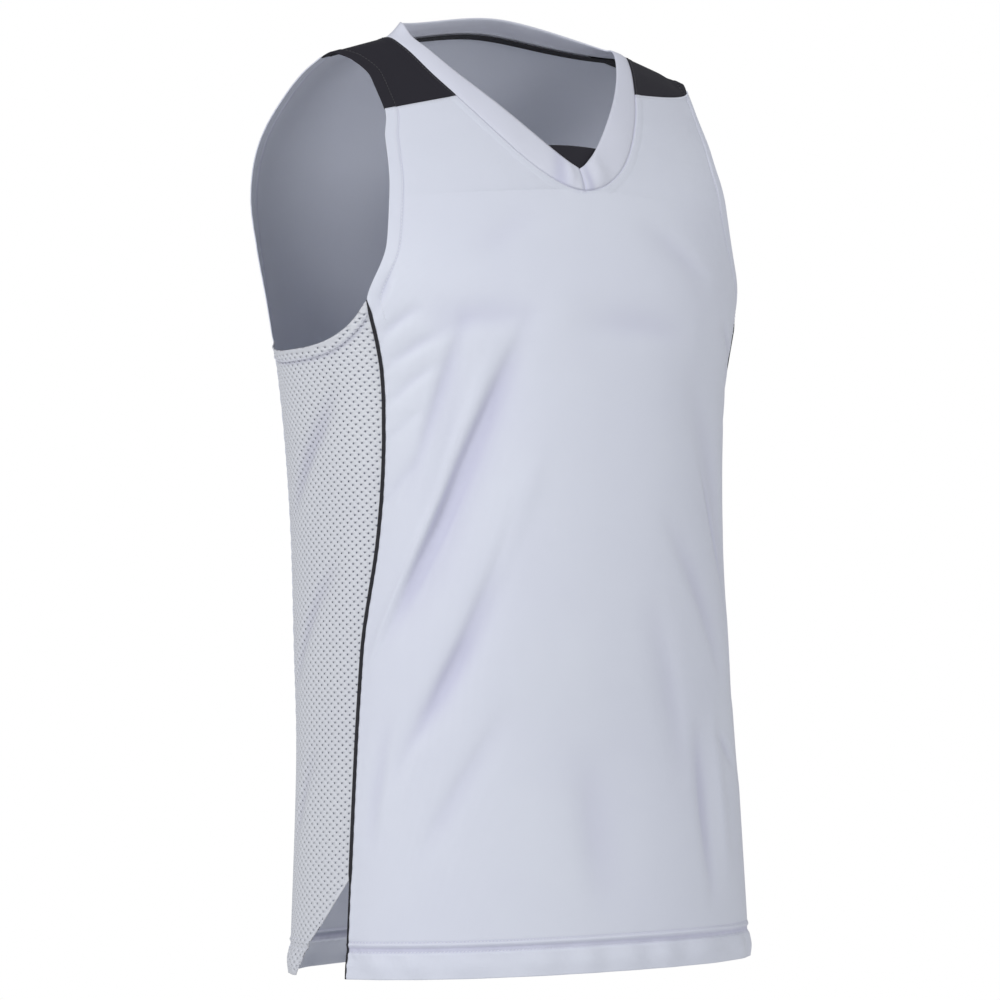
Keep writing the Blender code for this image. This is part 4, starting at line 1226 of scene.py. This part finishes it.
# %% Sew the seams
NECK_STITCH = 0.0022    # a row's distance from the seam beside it
for grid, normals, across, up, from_seam, _, _ in front_halves + back_halves:
    inward = across[:, -1:] - across
    for height in (HEM_LOW, HEM):
        stitch_line(*line_on(grid, normals, up, height, 0), lean=0.25 if height == HEM_LOW else 0.0)
    rows_above = grid[:, -1, 2] > UNDERARM - 0.05
    rows_above &= up[:, -1] > up[:, -1][(grid[:, -1, 2] > ARM_BACK).argmax()]
    turned = across[rows_above, -1:] - across[rows_above]
    line = line_on(grid[rows_above][:, ::-1], normals[rows_above][:, ::-1], turned[:, ::-1], ARM_BAND, 1)
    stitch_line(*line)
for grid, normals, across, up, from_neck, _, _ in front_halves:
    stitch_line(*line_on(grid[::-1], normals[::-1], (up[-1:] - up)[::-1], NECK_STITCH, 0))
for grid, normals, across, up, down, _, _ in back_halves:
    stitch_line(*line_on(grid[::-1], normals[::-1], down[::-1], NECK_STITCH, 0))

for side, (grid, normals) in zip((1, -1), [half[:2] for half in front_halves]):
    flat_line = neck_line(side)
    ahead = np.gradient(flat_line, axis=0)
    cloth = normals[closed_rows - 1:, 0]
    beside = np.cross(ahead, cloth) * side
    beside /= np.linalg.norm(beside, axis=-1, keepdims=True)
    beside[0] = (0, 0, -1)
    stitch_line(flat_line + beside * NECK_STITCH + cloth * 0.0002, cloth)

for side, word in ((-1, "right"), (1, "left")):
    _, grid, normals, across, up = yokes[word]
    turned = across[:, -1:] - across
    stitch_line(*line_on(grid[:, ::-1], normals[:, ::-1], turned[:, ::-1], ARM_BAND, 1), colour="black")
    stitch_line(*line_on(grid, normals, across, NECK_STITCH, 1), colour="black")
    shares = np.linspace(0.003, 0.997, 140)
    stitch_line(*side_spot(shares, scoop(shares) - MESH_BAND, side))
    for height in (HEM_LOW, HEM):
        stitch_line(*side_spot(shares, np.full(140, height - BODY_LENGTH), side))
    rise = np.linspace(-BODY_LENGTH + 0.003, VENT_TOP - 0.001, 60)
    stitch_line(*side_spot(np.full(60, 0.045), rise, side))

for colour, material in (("white", white_thread), ("black", black_thread)):
    spots, faces, count = tubes(colour)
    piece_from("stitches_" + colour, spots, faces, material, wall=0)
    print(count, colour, "stitches,", len(faces), "faces")

# %% [markdown]

# %% [markdown]
# ## Floor, backdrop and light
#
# The jersey is shown at the height where a person wears it, so the pale floor lies well below the hem.
# The room round it looks pure white to the camera, but lights the cloth with only part of that strength,
# so that folds keep their shade. A large soft light from the wearer's right makes the creases read, and
# a wider one in front fills the other side.

# %% Stage and lights
FLOOR = -1.45           # height of the floor
FLOOR_HALF = 4          # half its width
ROOM_STRENGTH = 0.38    # light from the room, of the 1.0 that the camera sees
CLOTH_MIDDLE = (0, 0, -0.4)
KEY_PLACE, KEY_SIZE, KEY_POWER = (-3.6, -1.1, 1.7), 1.1, 103
FRONT_PLACE, FRONT_SIZE, FRONT_POWER = (1.2, -3.6, 0.9), 2.0, 51
floor_grid = np.zeros((2, 2, 3))
floor_grid[..., 0] = np.array((-FLOOR_HALF, FLOOR_HALF))
floor_grid[..., 1] = np.array((-FLOOR_HALF, FLOOR_HALF))[:, None]
floor_grid[..., 2] = FLOOR
floor_mesh = bpy.data.meshes.new("floor")
floor_mesh.from_pydata(floor_grid.reshape(-1, 3).tolist(), [], [(0, 1, 3, 2)])
pale = bpy.data.materials.new("pale_floor")
pale.use_nodes = True
pale.node_tree.nodes["Principled BSDF"].inputs["Base Color"].default_value = (0.9, 0.9, 0.9, 1)
pale.node_tree.nodes["Principled BSDF"].inputs["Roughness"].default_value = 0.8
floor_mesh.materials.append(pale)
floor = bpy.data.objects.new("floor", floor_mesh)
bpy.context.scene.collection.objects.link(floor)

world = bpy.data.worlds.new("white_room")
world.use_nodes = True
tree = world.node_tree
seen, lighting = tree.nodes["Background"], tree.nodes.new("ShaderNodeBackground")
seen.inputs["Color"].default_value = (1, 1, 1, 1)
seen.inputs["Strength"].default_value = 1.0
lighting.inputs["Color"].default_value = (0.97, 0.98, 1, 1)
lighting.inputs["Strength"].default_value = ROOM_STRENGTH
ray = tree.nodes.new("ShaderNodeLightPath")
either = tree.nodes.new("ShaderNodeMixShader")
tree.links.new(ray.outputs["Is Camera Ray"], either.inputs[0])
tree.links.new(lighting.outputs[0], either.inputs[1])
tree.links.new(seen.outputs[0], either.inputs[2])
tree.links.new(either.outputs[0], tree.nodes["World Output"].inputs["Surface"])
bpy.context.scene.world = world
bpy.context.scene.view_settings.view_transform = "Standard"


def soft_light(name, place, aim, size, power):
    """A square light that faces a point."""
    lamp = bpy.data.lights.new(name, "AREA")
    lamp.size, lamp.energy = size, power
    lit = bpy.data.objects.new(name, lamp)
    bpy.context.scene.collection.objects.link(lit)
    lit.location = place
    lit.rotation_mode = "QUATERNION"
    lit.rotation_quaternion = (Vector(aim) - Vector(place)).to_track_quat("-Z", "Y")
    return lit


soft_light("key", KEY_PLACE, CLOTH_MIDDLE, KEY_SIZE, KEY_POWER)
soft_light("front", FRONT_PLACE, CLOTH_MIDDLE, FRONT_SIZE, FRONT_POWER)
print("floor at", FLOOR, "m")
